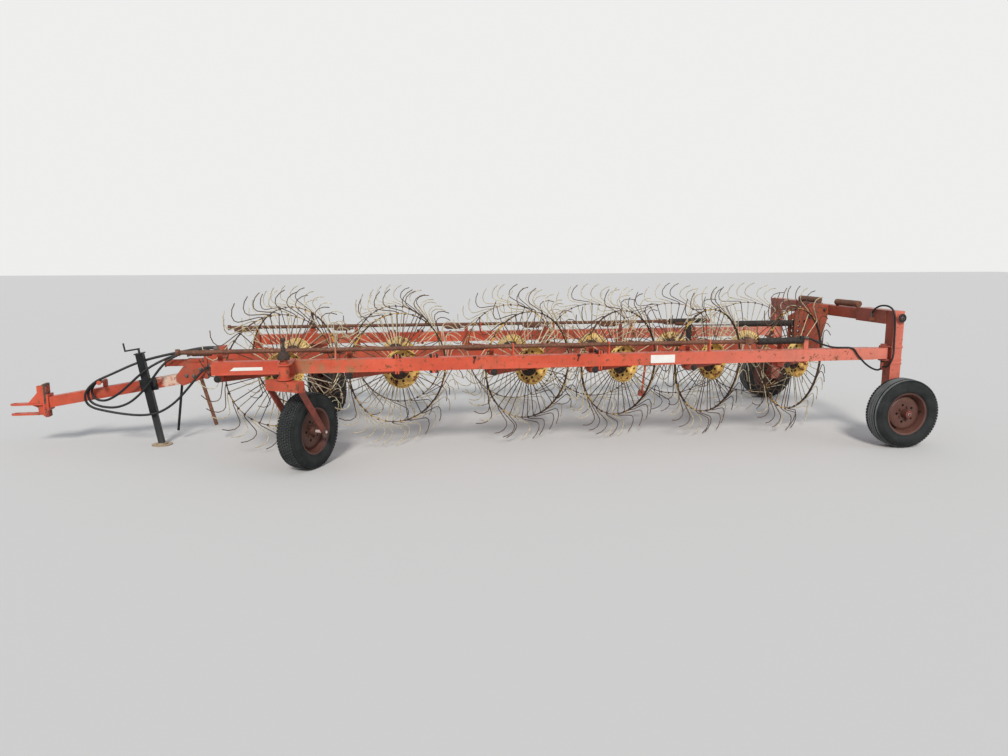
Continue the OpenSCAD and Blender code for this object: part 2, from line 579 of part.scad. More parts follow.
// Road wheel about the y axis, with its outer face at positive y
module tyre() color("dimgray") {
  half = tyre_w / 2;
  rotate([90, 0, 0]) rotate_extrude($fn = 96) difference() {
    polygon(concat(
      [for (p = TYRE) [tyre_r - p[0], half * p[1]]], [[bead_r, half * 0.72]],
      [[bead_r, -half * 0.72]], [for (i = [len(TYRE) - 1 : -1 : 0]) [tyre_r - TYRE[i][0], -half * TYRE[i][1]]]));
    for (g = GROOVES) translate([tyre_r - groove_d, g - groove_w / 2]) square([groove_d + 5, groove_w]);
  }
}
module rim(bore, reach) color("brown") {
  r = bead_r - seat;
  half = rim_w / 2 + seat;
  rotate([-90, 0, 0]) difference() {
    union() {
      rotate_extrude($fn = 96) polygon([[r, -half], [r + 10, -half], [r + 10, -half - 5], [r - 10, -half - 5],
        [r - 10, -20], [r - 14, half - 25], [60, half - 25], [60, half - 19],
        [r - 16, half - 19], [r - 10, half + 5], [r + 10, half + 5], [r + 10, half], [r, half]]);
      translate([0, 0, -reach]) cylinder(r = 40, h = reach + half + 12, $fn = 48);
      translate([0, 0, half - 30]) cylinder(r = 78, h = 14, $fn = 48);
    }
    translate([0, 0, -reach - 1]) cylinder(r = bore + seat, h = reach + half + 40, $fn = 48);
    for (k = [0 : 4]) rotate([0, 0, 72 * k]) translate([57, 0, half - 40]) cylinder(r = 9, h = 40, $fn = 32);
  }
}
module rear_wheel_place() {
  translate([rear_x, -wheel_y, tyre_r]) mirror([0, 1, 0]) children();
}

// Caster about its own spindle, before it is turned: the wheel trails along x
module caster_place() {
  translate([at_x(spindle_t), -spindle_y, 0]) rotate([0, 0, caster_turn]) children();
}
module caster() color("orangered") caster_place() {
  leg_y = fork_in + leg_th / 2;
  drop = fork_top - fork_h - tyre_r;
  tilt = atan2(trail, drop);
  translate([-40, -fork_in - leg_th, fork_top - fork_h]) cube([80, 2 * (fork_in + leg_th), fork_h]);
  for (s = [-1, 1]) translate([0, s * leg_y - leg_th / 2, 0]) {
    translate([0, 0, fork_top - fork_h + 10]) rotate([0, -tilt, 0])
      translate([-26, 0, -norm([trail, drop + 10]) - 8]) cube([52, leg_th, norm([trail, drop + 10]) + 8]);
  }
  translate([trail, 0, tyre_r]) bar_y(12, -fork_in - leg_th - 22, fork_in + leg_th + 22);
  // Spindle with its washer and nut
  translate([0, 0, fork_top - 10]) cylinder(r = spindle_r, h = beam_top + plate_th + 40 - fork_top, $fn = 48);
  translate([0, 0, beam_top + plate_th + 3]) cylinder(r = 34, h = 8, $fn = 48);
  translate([0, 0, beam_top + plate_th + 10]) cylinder(r = 28, h = 18, $fn = 6);
}
module caster_wheel_place() {
  caster_place() translate([trail, 0, tyre_r]) children();
}

// Hose swept along a route, with its rings squared off by a direction that the route never takes
function unit(v) = v / norm(v);
function heading(p, i) = unit(p[min(i + 1, len(p) - 1)] - p[max(i - 1, 0)]);
function ring(p, i, r, ref) = let (t = heading(p, i), u = unit(cross(t, ref)), v = cross(t, u))
  [for (k = [0 : hose_sides - 1]) p[i] + r * (cos(k * 360 / hose_sides) * u + sin(k * 360 / hose_sides) * v)];
module hose(p, r, ref) color("dimgray") {
  n = hose_sides;
  last = len(p) - 1;
  polyhedron(points = [for (i = [0 : last]) each ring(p, i, r, ref)], faces = concat(
    [[for (k = [0 : n - 1]) k], [for (k = [n - 1 : -1 : 0]) last * n + k]],
    [for (i = [0 : last - 1]) for (k = [0 : n - 1]) [i * n + k, (i + 1) * n + k, i * n + (k + 1) % n]],
    [for (i = [0 : last - 1]) for (k = [0 : n - 1])
      [i * n + (k + 1) % n, (i + 1) * n + k, (i + 1) * n + (k + 1) % n]]));
}

spine();
mast();
crossbar();
crossbar_cylinders();
spine_cylinder();
on_side(false) post(true);  // post_near
on_side(true) post(false);  // post_far
head_frame();
front_props();
drawbar();
hitch_plate();
hitch_clevis();
jack_tube();
jack_leg();
on_side(false) beam(true);  // beam_near
on_side(true) beam(false);  // beam_far
on_side(false) lift_cylinder(true);  // lift_cylinder_near
on_side(true) lift_cylinder(false);  // lift_cylinder_far
on_side(false) lift_bar();  // lift_bar_near
on_side(true) lift_bar();  // lift_bar_far
for (k = [0 : 5]) {
  on_side(false) arm(PIVOT_T[k]);
  on_side(true) arm(PIVOT_T[k]);
  on_side(false) tine_wheel(PIVOT_T[k]);
  on_side(true) tine_wheel(PIVOT_T[k]);
}
on_side(false) caster();  // caster_near
on_side(true) caster();  // caster_far
on_side(false) caster_wheel_place() tyre();  // caster_tyre_near
on_side(true) caster_wheel_place() tyre();  // caster_tyre_far
on_side(false) caster_wheel_place() mirror([0, 1, 0]) rim(12, 70);  // caster_rim_near
on_side(true) caster_wheel_place() mirror([0, 1, 0]) rim(12, 70);  // caster_rim_far
on_side(false) rear_wheel_place() tyre();  // rear_tyre_near
on_side(true) rear_wheel_place() tyre();  // rear_tyre_far
on_side(false) rear_wheel_place() rim(axle_r, 55);  // rear_rim_near
on_side(true) rear_wheel_place() rim(axle_r, 55);  // rear_rim_far
hose(HOSE_LOW, hose_r, [0, 1, 0]);  // hose_low
hose(HOSE_MIDDLE, hose_r, [0, 1, 0]);  // hose_middle
hose(HOSE_UPPER, hose_r, [0, 1, 0]);  // hose_upper
hose(HOSE_BEAM, thin_hose_r, [0, 1, 0]);  // hose_beam
hose(HOSE_POST, thin_hose_r, [1, 0, 0]);  // hose_post
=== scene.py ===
"""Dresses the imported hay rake: tined wheels, tyres, rims, hoses, hardware, worn paint, stage and camera."""
import json
import math
import random

import bmesh
import bpy
from bpy.props import FloatProperty, FloatVectorProperty, IntProperty, PointerProperty
from mathutils import Matrix, Vector

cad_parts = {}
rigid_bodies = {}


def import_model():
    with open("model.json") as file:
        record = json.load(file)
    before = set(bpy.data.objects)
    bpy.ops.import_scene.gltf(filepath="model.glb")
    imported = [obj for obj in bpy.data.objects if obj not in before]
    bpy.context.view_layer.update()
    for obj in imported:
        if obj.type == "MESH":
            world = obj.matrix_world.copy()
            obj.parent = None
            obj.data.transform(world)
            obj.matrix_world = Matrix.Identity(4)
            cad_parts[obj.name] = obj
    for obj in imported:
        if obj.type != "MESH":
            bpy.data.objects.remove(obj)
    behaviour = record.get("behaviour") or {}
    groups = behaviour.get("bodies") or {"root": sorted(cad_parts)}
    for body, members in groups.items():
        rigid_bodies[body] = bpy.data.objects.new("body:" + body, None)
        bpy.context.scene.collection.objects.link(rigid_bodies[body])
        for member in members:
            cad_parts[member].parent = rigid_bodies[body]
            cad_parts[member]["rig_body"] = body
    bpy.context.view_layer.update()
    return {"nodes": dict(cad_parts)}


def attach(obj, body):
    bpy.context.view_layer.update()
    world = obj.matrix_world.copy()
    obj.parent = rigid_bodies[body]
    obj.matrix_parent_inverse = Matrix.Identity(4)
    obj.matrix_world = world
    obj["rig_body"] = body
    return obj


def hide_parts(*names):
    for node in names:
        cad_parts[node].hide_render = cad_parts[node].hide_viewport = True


bl_info = {
    "name": "Hay Rake Dresser",
    "version": (1, 0, 0),
    "blender": (4, 5, 0),
    "location": "3D View > Sidebar > Hay Rake",
    "description": "Dresses a towed rake with tined wheels, tyres, hoses, hardware and worn paint",
    "category": "Add Mesh",
}

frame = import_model()

# The rake's layout in metres, as in the CAD
SIDES = ("near", "far")
REAR_X = 3.65
POST_Y = 1.0
POST_FRONT = REAR_X - 0.045
BEAM_LOW, BEAM_Z = 0.75, 0.8
BEAM_FACE = POST_Y + 0.05
PIVOT_X = (-2.025, -1.048, 0.087, 0.925, 1.776, 2.618)
PIVOT_Z = 0.724
ARM_RUN = 0.4
HUB_Y, HUB_Z = 0.47, 0.69
RAKE_ANGLE = math.radians(28)
TYRE_R = 0.3
REAR_WHEEL_Y = 1.183
SPINDLE = Vector((-1.51, -1.26, 0.0))
SPINDLE_R = 0.020
TRAIL = 0.26
AXLE_R = 0.0125
CASTER_TURN = math.radians(59)
SPRING_Y, SPRING_Z = -0.913, 0.903


# Places --------------------

# Turns a wheel's axle from z to y
UPRIGHT = Matrix.Rotation(math.pi / 2, 4, "X")


def on_side(side):
    """The near side is drawn at negative y, and the far side is its mirror image."""
    return Matrix.Diagonal((1, 1 if side == "near" else -1, 1, 1))


def wheel_place(side, number):
    """A tine wheel's hub: local z is its axle, pointing out to its own beam."""
    hub = Matrix.Translation((PIVOT_X[number - 1] + ARM_RUN, -HUB_Y, HUB_Z))
    return on_side(side) @ hub @ Matrix.Rotation(RAKE_ANGLE, 4, "Z") @ UPRIGHT


def rear_wheel_place(side):
    """A rear wheel's middle: local z is its axle, pointing outwards."""
    return on_side(side) @ Matrix.Translation((REAR_X, -REAR_WHEEL_Y, TYRE_R)) @ UPRIGHT


def caster_place(side):
    """The caster's spindle on the ground, turned as it is parked: the wheel trails along local x."""
    return on_side(side) @ Matrix.Translation(SPINDLE) @ Matrix.Rotation(CASTER_TURN, 4, "Z")


def caster_wheel_place(side):
    """A caster wheel's middle: local z is its axle."""
    return caster_place(side) @ Matrix.Translation((TRAIL, 0, TYRE_R)) @ UPRIGHT


def facing(point, direction):
    """A place at a point whose local z looks along a direction."""
    return Matrix.Translation(point) @ Vector(direction).to_track_quat("Z", "Y").to_matrix().to_4x4()


def around(count, start=Matrix(), late=0.0):
    """A start place turned to evenly spaced stations about z."""
    return [Matrix.Rotation(math.tau * (k + late) / count, 4, "Z") @ start for k in range(count)]


# Mesh tools --------------------

def add_piece(shape, name, finishes, body, place=None, smooth=True, replaces=(), outward=True):
    """Turns a bmesh into a finished object that rides on a body."""
    if place is not None:
        bmesh.ops.transform(shape, matrix=place, verts=shape.verts)
    if outward:
        bmesh.ops.recalc_face_normals(shape, faces=shape.faces)
    mesh = as_mesh(shape, name)
    piece = bpy.data.objects.new(name, mesh)
    bpy.context.scene.collection.objects.link(piece)
    for finish in finishes:
        mesh.materials.append(bpy.data.materials["finish_" + finish])
    if smooth:
        mesh.shade_smooth()
        mesh.set_sharp_from_angle(angle=math.radians(35))
    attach(piece, body)
    if replaces:
        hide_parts(*replaces)
    return piece


def as_mesh(shape, name):
    mesh = bpy.data.meshes.new(name)
    shape.to_mesh(mesh)
    shape.free()
    return mesh


def stamp(shape, stencil, places):
    """Adds a copy of the stencil mesh at each place, then drops the stencil."""
    for place in places:
        posed = stencil.copy()
        posed.transform(place)
        shape.from_mesh(posed)
        bpy.data.meshes.remove(posed)
    bpy.data.meshes.remove(stencil)


def faces_of(verts):
    return {f for v in verts for f in v.link_faces}


def edges_of(verts):
    return {e for v in verts for e in v.link_edges}


def mark(faces, index):
    """Gives faces one of their piece's finishes."""
    for face in faces:
        face.material_index = index


def reach(face):
    """How far a face's middle lies from the z axis."""
    middle = face.calc_center_median()
    return math.hypot(middle.x, middle.y)


def sweep(shape, path, radius, sides, material=0):
    """Extrudes a round section along a path, turning it with the path."""
    points = [Vector(p) for p in path]
    steps = [(b - a).normalized() for a, b in zip(points, points[1:])]
    tangents = [steps[0]] + [(a + b).normalized() for a, b in zip(steps, steps[1:])] + [steps[-1]]
    ring = bmesh.ops.create_circle(shape, cap_ends=False, segments=sides, radius=radius,
                                   matrix=facing(points[0], tangents[0]))["verts"]
    rings = [ring]
    edges = list(edges_of(ring))
    for before, after, old, new in zip(points, points[1:], tangents, tangents[1:]):
        grown = bmesh.ops.extrude_edge_only(shape, edges=edges)["geom"]
        ring = [g for g in grown if isinstance(g, bmesh.types.BMVert)]
        edges = [g for g in grown if isinstance(g, bmesh.types.BMEdge)]
        swing = Matrix.Translation(after) @ old.rotation_difference(new).to_matrix().to_4x4()
        bmesh.ops.transform(shape, matrix=swing @ Matrix.Translation(-before), verts=ring)
        rings.append(ring)
    for end in (rings[0], rings[-1]):
        bmesh.ops.contextual_create(shape, geom=[e for e in edges_of(end) if e.is_boundary])
    if material:
        mark(faces_of(v for ring in rings for v in ring), material)


def lathe(shape, profile, segments, place=None, closed=True, material=0):
    """Spins a profile of (radius, height) points about z, and returns its faces."""
    verts = [shape.verts.new((r, 0, z)) for r, z in profile]
    edges = [shape.edges.new(pair) for pair in zip(verts, verts[1:])]
    if closed:
        edges.append(shape.edges.new((verts[-1], verts[0])))
    before = set(shape.faces)
    bmesh.ops.spin(shape, geom=verts + edges, cent=(0, 0, 0), axis=(0, 0, 1), angle=math.tau, steps=segments,
                   use_merge=True, use_duplicate=False)
    fresh = {v for f in shape.faces if f not in before for v in f.verts}
    bmesh.ops.remove_doubles(shape, verts=list(fresh), dist=1e-6)
    made = [f for f in shape.faces if f not in before]
    mark(made, material)
    if place is not None:
        bmesh.ops.transform(shape, matrix=place, verts=list({v for f in made for v in f.verts}))
    return made


def soften(shape, verts, edges, width, material):
    """Bevels edges of a new form, gives its faces their finish and returns all its verts."""
    faces = faces_of(verts)
    cut = bmesh.ops.bevel(shape, geom=list(edges), offset=width, segments=2, profile=0.5, affect="EDGES",
                          clamp_overlap=True, material=-1)
    faces = set(cut["faces"]) | {f for f in faces if f.is_valid}
    mark(faces, material)
    return list({v for f in faces for v in f.verts})


def block(shape, low, high, bevel, place=None, material=0):
    """A box between two corners, with softened edges."""
    low, high = Vector(low), Vector(high)
    size = Matrix.Diagonal((*(high - low), 1))
    made = bmesh.ops.create_cube(shape, size=1, matrix=Matrix.Translation((low + high) / 2) @ size)["verts"]
    verts = soften(shape, made, edges_of(made), bevel, material)
    if place is not None:
        bmesh.ops.transform(shape, matrix=place, verts=verts)


def drum(shape, radius, height, sides, bevel, place=Matrix(), material=0):
    """A capped cylinder that stands on its place, with softened rims."""
    made = bmesh.ops.create_cone(shape, cap_ends=True, cap_tris=False, segments=sides, radius1=radius,
                                 radius2=radius, depth=height,
                                 matrix=place @ Matrix.Translation((0, 0, height / 2)))["verts"]
    rims = [e for e in edges_of(made) if any(len(f.verts) > 4 for f in e.link_faces)]
    soften(shape, made, rims, bevel, material)


def bolt_stencil(name, across, height, washer=True):
    """A hex head on its washer, standing on z = 0."""
    shape = bmesh.new()
    if washer:
        drum(shape, across * 0.78, height * 0.2, 20, height * 0.05)
    drum(shape, across * 0.56, height * 0.85, 6, across * 0.05, Matrix.Translation((0, 0, height * 0.15)))
    return as_mesh(shape, name)


# Finishes --------------------

def node(tree, kind, values=None, **settings):
    """Adds a shader node, and sets or joins its inputs."""
    made = tree.nodes.new("ShaderNode" + kind)
    for key, value in settings.items():
        setattr(made, key, value)
    for key, value in (values or {}).items():
        if isinstance(value, bpy.types.NodeSocket):
            tree.links.new(value, made.inputs[key])
        else:
            made.inputs[key].default_value = value
    return made


def clouds(tree, at, scale, detail, rough):
    """Noise over the given coordinates."""
    values = {"Vector": at, "Scale": scale, "Detail": detail, "Roughness": rough}
    return node(tree, "TexNoise", values).outputs["Fac"]


def between(tree, value, low, high, to_low=0.0, to_high=1.0):
    """A value spread from one range over another, and held at its ends."""
    values = {"Value": value, "From Min": low, "From Max": high, "To Min": to_low, "To Max": to_high}
    return node(tree, "MapRange", values, clamp=True).outputs["Result"]


def sums(tree, operation, *values):
    """One step of arithmetic on sockets and numbers."""
    return node(tree, "Math", dict(enumerate(values)), operation=operation).outputs[0]


def mixed(tree, share, a, b):
    """A mix of two colours, each a socket or fixed."""
    made = node(tree, "Mix", {"Factor": share}, data_type="RGBA", blend_type="MIX")
    for index, value in ((6, a), (7, b)):
        if isinstance(value, bpy.types.NodeSocket):
            tree.links.new(value, made.inputs[index])
        else:
            made.inputs[index].default_value = (*value, 1)
    return made.outputs[2]


def toned(colour, share):
    return tuple(c * share for c in colour)


def new_finish(name, **fixed):
    """An empty Principled finish: its tree, its shader and the object coordinates."""
    material = bpy.data.materials.new("finish_" + name)
    material.use_nodes = True
    tree = material.node_tree
    shader = tree.nodes["Principled BSDF"]
    for key, value in fixed.items():
        shader.inputs[key.replace("_", " ")].default_value = value
    return tree, shader, node(tree, "TexCoord").outputs["Object"]


def give(tree, shader, colour, roughness, height, bump, depth):
    """Joins a finish's colour, roughness and bump to its shader."""
    relief = node(tree, "Bump", {"Strength": bump, "Distance": depth, "Height": height})
    for socket, name in ((colour, "Base Color"), (roughness, "Roughness"), (relief.outputs["Normal"], "Normal")):
        tree.links.new(socket, shader.inputs[name])


def paint_finish(name, sunlit, deep, wear, streaks, grime, rust=(0.10, 0.037, 0.018), fade_and_shade=None, patch=None):
    """Sun-bleached enamel with rust patches, runs and dust, and a blend along one axis that some finishes use for
    sun fading and others for painted shade.

    The axis blend is (axis, start, end, colour): sun fading on the beams, painted shade on the caster forks and the
    posts, with y taken from the middle plane outwards, and patch is a worn place as (start, end, colour) along x.
    """
    tree, shader, at = new_finish(name, Roughness=0.55, Specular_IOR_Level=0.3)
    places = node(tree, "SeparateXYZ", {"Vector": at}).outputs
    broad = clouds(tree, at, 1.6, 5, 0.55)
    fine = clouds(tree, at, 38, 4, 0.7)
    colour = mixed(tree, between(tree, broad, 0.36, 0.64), deep, sunlit)
    # Blend along one axis: sun-faded paint on the beams, painted shade on the forks and posts
    if fade_and_shade:
        axis, start, end, blend_colour = fade_and_shade
        along = sums(tree, "ABSOLUTE", places["Y"]) if axis == "Y" else places[axis]
        colour = mixed(tree, between(tree, along, start, end), colour, blend_colour)
    # Chalky bloom, runs of rust and dust
    chalk = between(tree, clouds(tree, at, 9, 8, 0.72), 0.42, 0.72)
    bloom = tuple(min(1, c * 1.2 + 0.025) for c in sunlit)
    colour = mixed(tree, sums(tree, "MULTIPLY", chalk, 0.35), colour, bloom)
    upright = node(tree, "Mapping", {"Vector": at, "Scale": (30, 30, 3.5), "Location": (0.3, 0.2, 0.1)})
    runs = clouds(tree, upright.outputs["Vector"], 1.0, 5, 0.6)
    run_mask = sums(tree, "MULTIPLY", between(tree, runs, 0.60, 0.78), streaks)
    colour = mixed(tree, run_mask, colour, tuple(c * 0.42 + r * 0.3 for c, r in zip(deep, rust)))
    dust = between(tree, clouds(tree, at, 5, 7, 0.65), 0.48, 0.7)
    dirt = sums(tree, "MULTIPLY", dust, grime)
    colour = mixed(tree, dirt, colour, (0.16, 0.085, 0.05))
    if patch:
        start, end, worn = patch
        inside = sums(tree, "MULTIPLY", between(tree, places["X"], start, start + 0.1),
                      between(tree, places["X"], end, end - 0.1))
        blotch = between(tree, clouds(tree, at, 7, 8, 0.7), 0.42, 0.56)
        colour = mixed(tree, sums(tree, "MULTIPLY", inside, blotch), colour, worn)
    # Chips that show rust, thicker in some places than in others
    spots = clouds(tree, at, 21, 7, 0.7)
    hollow = between(tree, clouds(tree, at, 3.1, 6, 0.7), 0.35, 0.65, 0.07, -0.03)
    level = sums(tree, "SUBTRACT", spots, hollow)
    chips = between(tree, level, 0.645 - 0.12 * wear, 0.70 - 0.12 * wear)
    rust_colour = mixed(tree, fine, rust, tuple(min(1, c * 2.6) for c in rust))
    colour = mixed(tree, chips, colour, rust_colour)
    roughness = between(tree, sums(tree, "MAXIMUM", chips, dirt), 0, 1, 0.42, 0.86)
    give(tree, shader, colour, roughness, mixed(tree, chips, (0.5, 0.5, 0.5), fine), 0.35, 0.0015)


def rust_finish(name, dark, light, sheen=0.0, paint=None, paint_share=0.0):
    """Bare steel gone brown, with what is left of an old paint."""
    tree, shader, at = new_finish(name, Roughness=0.75, Metallic=0.15 + sheen)
    grain = clouds(tree, at, 60, 8, 0.7)
    broad = clouds(tree, at, 6, 6, 0.65)
    colour = mixed(tree, between(tree, broad, 0.35, 0.65), dark, light)
    colour = mixed(tree, between(tree, grain, 0.35, 0.7), colour, toned(dark, 0.45))
    if paint:
        edge = 0.62 - 0.3 * paint_share
        left = between(tree, clouds(tree, at, 11, 8, 0.7), edge, edge + 0.04)
        colour = mixed(tree, left, colour, paint)
    give(tree, shader, colour, between(tree, grain, 0.3, 0.7, 0.55, 0.9), grain, 0.4, 0.001)


def tyre_finish(name, shade):
    """Old rubber: dark, a little dusty, and greyer where the road has worn it."""
    tree, shader, at = new_finish(name, Roughness=0.8, Specular_IOR_Level=0.12)
    broad = clouds(tree, at, 7, 6, 0.6)
    fine = clouds(tree, at, 90, 6, 0.7)
    colour = mixed(tree, between(tree, broad, 0.35, 0.7), toned((0.017, 0.018, 0.018), shade),
                   toned((0.034, 0.036, 0.036), shade))
    dust = between(tree, clouds(tree, at, 24, 8, 0.75), 0.52, 0.72)
    colour = mixed(tree, sums(tree, "MULTIPLY", dust, 0.3), colour, (0.062, 0.064, 0.060))
    give(tree, shader, colour, between(tree, fine, 0.3, 0.7, 0.7, 0.92), fine, 0.25, 0.0008)


def plain_finish(name, colour, roughness, metal=0.0, mottle=0.25, scale=30, bump=0.1, shine=0.5):
    """A part's own colour with light mottling, for plates, rubber hoses and bright rods."""
    tree, shader, at = new_finish(name, Metallic=metal, Specular_IOR_Level=shine)
    grain = clouds(tree, at, scale, 6, 0.65)
    shade = mixed(tree, between(tree, grain, 0.3, 0.7), toned(colour, 1 - mottle), colour)
    rough = between(tree, grain, 0.3, 0.7, roughness * 0.8, min(1, roughness * 1.2))
    give(tree, shader, shade, rough, grain, bump, 0.0006)


def make_finishes(settings):
    """Makes every finish once, under its own name."""
    sunlit, deep, wear = tuple(settings.sunlit_paint), tuple(settings.deep_paint), settings.wear
    paint_finish("frame_paint", sunlit, deep, wear, 0.45, 0.30, fade_and_shade=("X", 1.1, 3.0, (0.60, 0.185, 0.13)),
                 patch=(-1.50, -0.9, (0.34, 0.13, 0.06)))
    paint_finish("worn_edge", toned(sunlit, 1.05), toned(deep, 0.7), 1.3, 0.2, 0.2)
    paint_finish("front_paint", toned(sunlit, 0.9), toned(deep, 0.75), 0.9, 0.7, 0.6)
    paint_finish("drawbar_paint", toned(sunlit, 0.92), toned(deep, 0.8), 0.8, 0.3, 0.5,
                 patch=(-2.88, -2.47, (0.62, 0.44, 0.34)))
    # A darker copy of the paint for the arms and worn edges, and painted shade on the mast
    paint_finish("arm_paint", toned(sunlit, 0.7), toned(deep, 0.55), 1.0, 0.3, 0.7)
    # The fork's legs below 0.64 m turn dark red: painted shade from the beam and its outrigger above
    paint_finish("fork_paint", sunlit, toned(deep, 0.8), 0.9, 0.3, 0.4,
                 fade_and_shade=("Z", 0.660, 0.640, (0.15, 0.038, 0.028)))
    # Inward of 0.935 m from the middle, at the crossbar's sleeve, the post paint turns dark: painted shade
    paint_finish("post_paint", (0.60, 0.18, 0.125), (0.54, 0.13, 0.085), wear, 0.3, 0.25,
                 fade_and_shade=("Y", 0.95, 0.935, (0.26, 0.065, 0.045)))
    # A darker copy of the post paint: painted shade on the posts' forward faces
    paint_finish("post_shade", (0.30, 0.075, 0.05), (0.24, 0.055, 0.036), wear, 0.3, 0.4)
    paint_finish("inner_tube", (0.36, 0.075, 0.045), (0.17, 0.035, 0.022), 0.9, 0.5, 0.5)
    paint_finish("rim_paint", (0.105, 0.043, 0.032), (0.075, 0.030, 0.022), 0.6, 0.1, 0.3,
                 rust=(0.07, 0.032, 0.022))
    paint_finish("hub_paint", (0.30, 0.05, 0.045), (0.20, 0.034, 0.030), 0.6, 0.1, 0.2)
    paint_finish("dish_yellow", (0.78, 0.54, 0.17), (0.66, 0.40, 0.09), 1.1, 0.4, 0.5)
    rust_finish("lift_bar_rust", (0.14, 0.055, 0.03), (0.26, 0.11, 0.06))
    # Dark and pale tine wire: rust and worn wire, and also painted shade and painted highlight on the wires
    rust_finish("tine_rust_and_shade", (0.075, 0.040, 0.025), (0.21, 0.125, 0.07), sheen=0.1)
    rust_finish("tine_pale_and_lit", (0.52, 0.43, 0.27), (0.84, 0.76, 0.55))
    rust_finish("hoop_outer", (0.055, 0.030, 0.018), (0.13, 0.065, 0.035), paint=(0.62, 0.38, 0.09),
                paint_share=0.34)
    # Dark rust for the dish hubs, the hoop clips and the lock rods, and painted shade on the hoops' inner faces and
    # in the dishes' holes
    rust_finish("dark_rust_and_shade", (0.045, 0.025, 0.018), (0.10, 0.05, 0.03))
    rust_finish("dark_steel", (0.022, 0.020, 0.019), (0.06, 0.045, 0.035), sheen=0.2)
    rust_finish("hitch_steel", (0.07, 0.045, 0.035), (0.16, 0.09, 0.06), paint=deep, paint_share=0.35)
    plain_finish("black_paint", (0.014, 0.015, 0.016), 0.5, mottle=0.35, scale=22, shine=0.3)
    plain_finish("hose_rubber", (0.010, 0.010, 0.011), 0.5, mottle=0.3, scale=60, bump=0.2, shine=0.35)
    plain_finish("bright_rod", (0.62, 0.62, 0.60), 0.25, metal=0.9, mottle=0.2, scale=15, bump=0.05)
    plain_finish("bolt_steel", (0.16, 0.13, 0.11), 0.5, metal=0.6, mottle=0.5, scale=120, bump=0.2)
    plain_finish("blank_plate", (0.76, 0.74, 0.69), 0.5, mottle=0.08, scale=18, bump=0.02)
    plain_finish("foot_tan", (0.52, 0.40, 0.27), 0.8, mottle=0.35, scale=26, bump=0.4)
    plain_finish("cap_grey", (0.78, 0.60, 0.55), 0.5, metal=0.2, mottle=0.35, scale=60, bump=0.2)
    tyre_finish("tyre_rubber", 1.0)
    # Tread tops: the rubber made 5.5 times lighter, partly worn rubber and partly painted highlight so that the
    # tread stands out
    tyre_finish("worn_tread_and_highlight", 5.5)
    # Black for the valve, and painted shade in the tyre grooves, the drawn holes and slots, and the strips under
    # the post bands
    plain_finish("black_and_painted_shade", (0.006, 0.006, 0.006), 0.9, shine=0.05)


# CAD nodes that keep their own shape --------------------

# Node, its finish, the finish of its worn edges and the width of those edges
ROUNDED = (
    ("spine", "front_paint", "arm_paint", 0.006),
    # The mast takes the darker arm paint: painted shade
    ("mast", "arm_paint", "front_paint", 0.003),
    ("crossbar", "inner_tube", "arm_paint", 0.006),
    *((f"post_{side}", "post_paint", "worn_edge", 0.005) for side in SIDES),
    ("head_frame", "front_paint", "arm_paint", 0.004),
    ("front_props", "lift_bar_rust", "arm_paint", 0.003),
    ("drawbar", "drawbar_paint", "arm_paint", 0.006),
    ("hitch_plate", "hitch_steel", "dark_steel", 0.003),
    ("hitch_clevis", "frame_paint", "arm_paint", 0.003),
    ("jack_tube", "black_paint", "dark_steel", 0.003),
    ("jack_leg", "black_paint", "dark_steel", 0.0015),
    *((f"beam_{side}", "frame_paint", "worn_edge", 0.005) for side in SIDES),
    *((f"caster_{side}", "fork_paint", "arm_paint", 0.004) for side in SIDES),
)
# Finishes of the nodes that stay as they are, by the start of their names
CARRIED = {"crossbar_cylinders": "lift_bar_rust", "spine_cylinder": "dark_steel", "lift_cylinder": "dark_steel",
           "lift_bar": "lift_bar_rust", "arm": "arm_paint"}


def on_axle(point, side):
    """Whether a point lies on a caster's axle."""
    local = caster_place(side).inverted() @ point
    return math.hypot(local.x - TRAIL, local.z - TYRE_R) < AXLE_R + 0.001


# A finish of its own for one part of a node: the front stay, the jack's foot, the casters' axles and painted
# shade on the posts' forward faces
ACCENTS = {
    "front_props": ("black_paint", lambda point: point.x < -2.5),
    "jack_leg": ("foot_tan", lambda point: point.z < 0.024),
    "caster_near": ("cap_grey", lambda point: on_axle(point, "near")),
    "caster_far": ("cap_grey", lambda point: on_axle(point, "far")),
    "post_near": ("post_shade", lambda point: point.x < POST_FRONT),
    "post_far": ("post_shade", lambda point: point.x < POST_FRONT),
}


def ease_spindle(shape, side):
    """Shrinks a caster's spindle by 2 percent, so that it turns freely in its sleeve."""
    middle = on_side(side) @ SPINDLE
    for vert in shape.verts:
        out = Vector((vert.co.x - middle.x, vert.co.y - middle.y, 0))
        if out.length < SPINDLE_R + 0.0005 and vert.co.z > BEAM_LOW - 0.025:
            vert.co -= out * 0.02


def round_node(name, finish, edge_finish, width):
    """A merged copy of a CAD node with softened edges, whose bevels carry the worn finish."""
    cad = frame["nodes"][name]
    shape = bmesh.new()
    shape.from_mesh(cad.data)
    bmesh.ops.remove_doubles(shape, verts=shape.verts, dist=1e-5)
    bmesh.ops.dissolve_limit(shape, angle_limit=math.radians(0.8), verts=shape.verts, edges=shape.edges,
                             delimit={"NORMAL"})
    accent, chosen = ACCENTS.get(name, (finish, lambda point: False))
    mark((face for face in shape.faces if chosen(face.calc_center_median())), 2)
    if name.startswith("caster"):
        ease_spindle(shape, name.removeprefix("caster_"))
    piece = add_piece(shape, "shaped_" + name, (finish, edge_finish, accent), cad["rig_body"],
                      replaces=(name,), outward=False)
    bevel = piece.modifiers.new("worn_edges", "BEVEL")
    bevel.width = width
    bevel.segments = 2
    bevel.limit_method = "ANGLE"
    bevel.angle_limit = math.radians(40)
    bevel.use_clamp_overlap = True
    bevel.material = 1


# Tined wheels --------------------

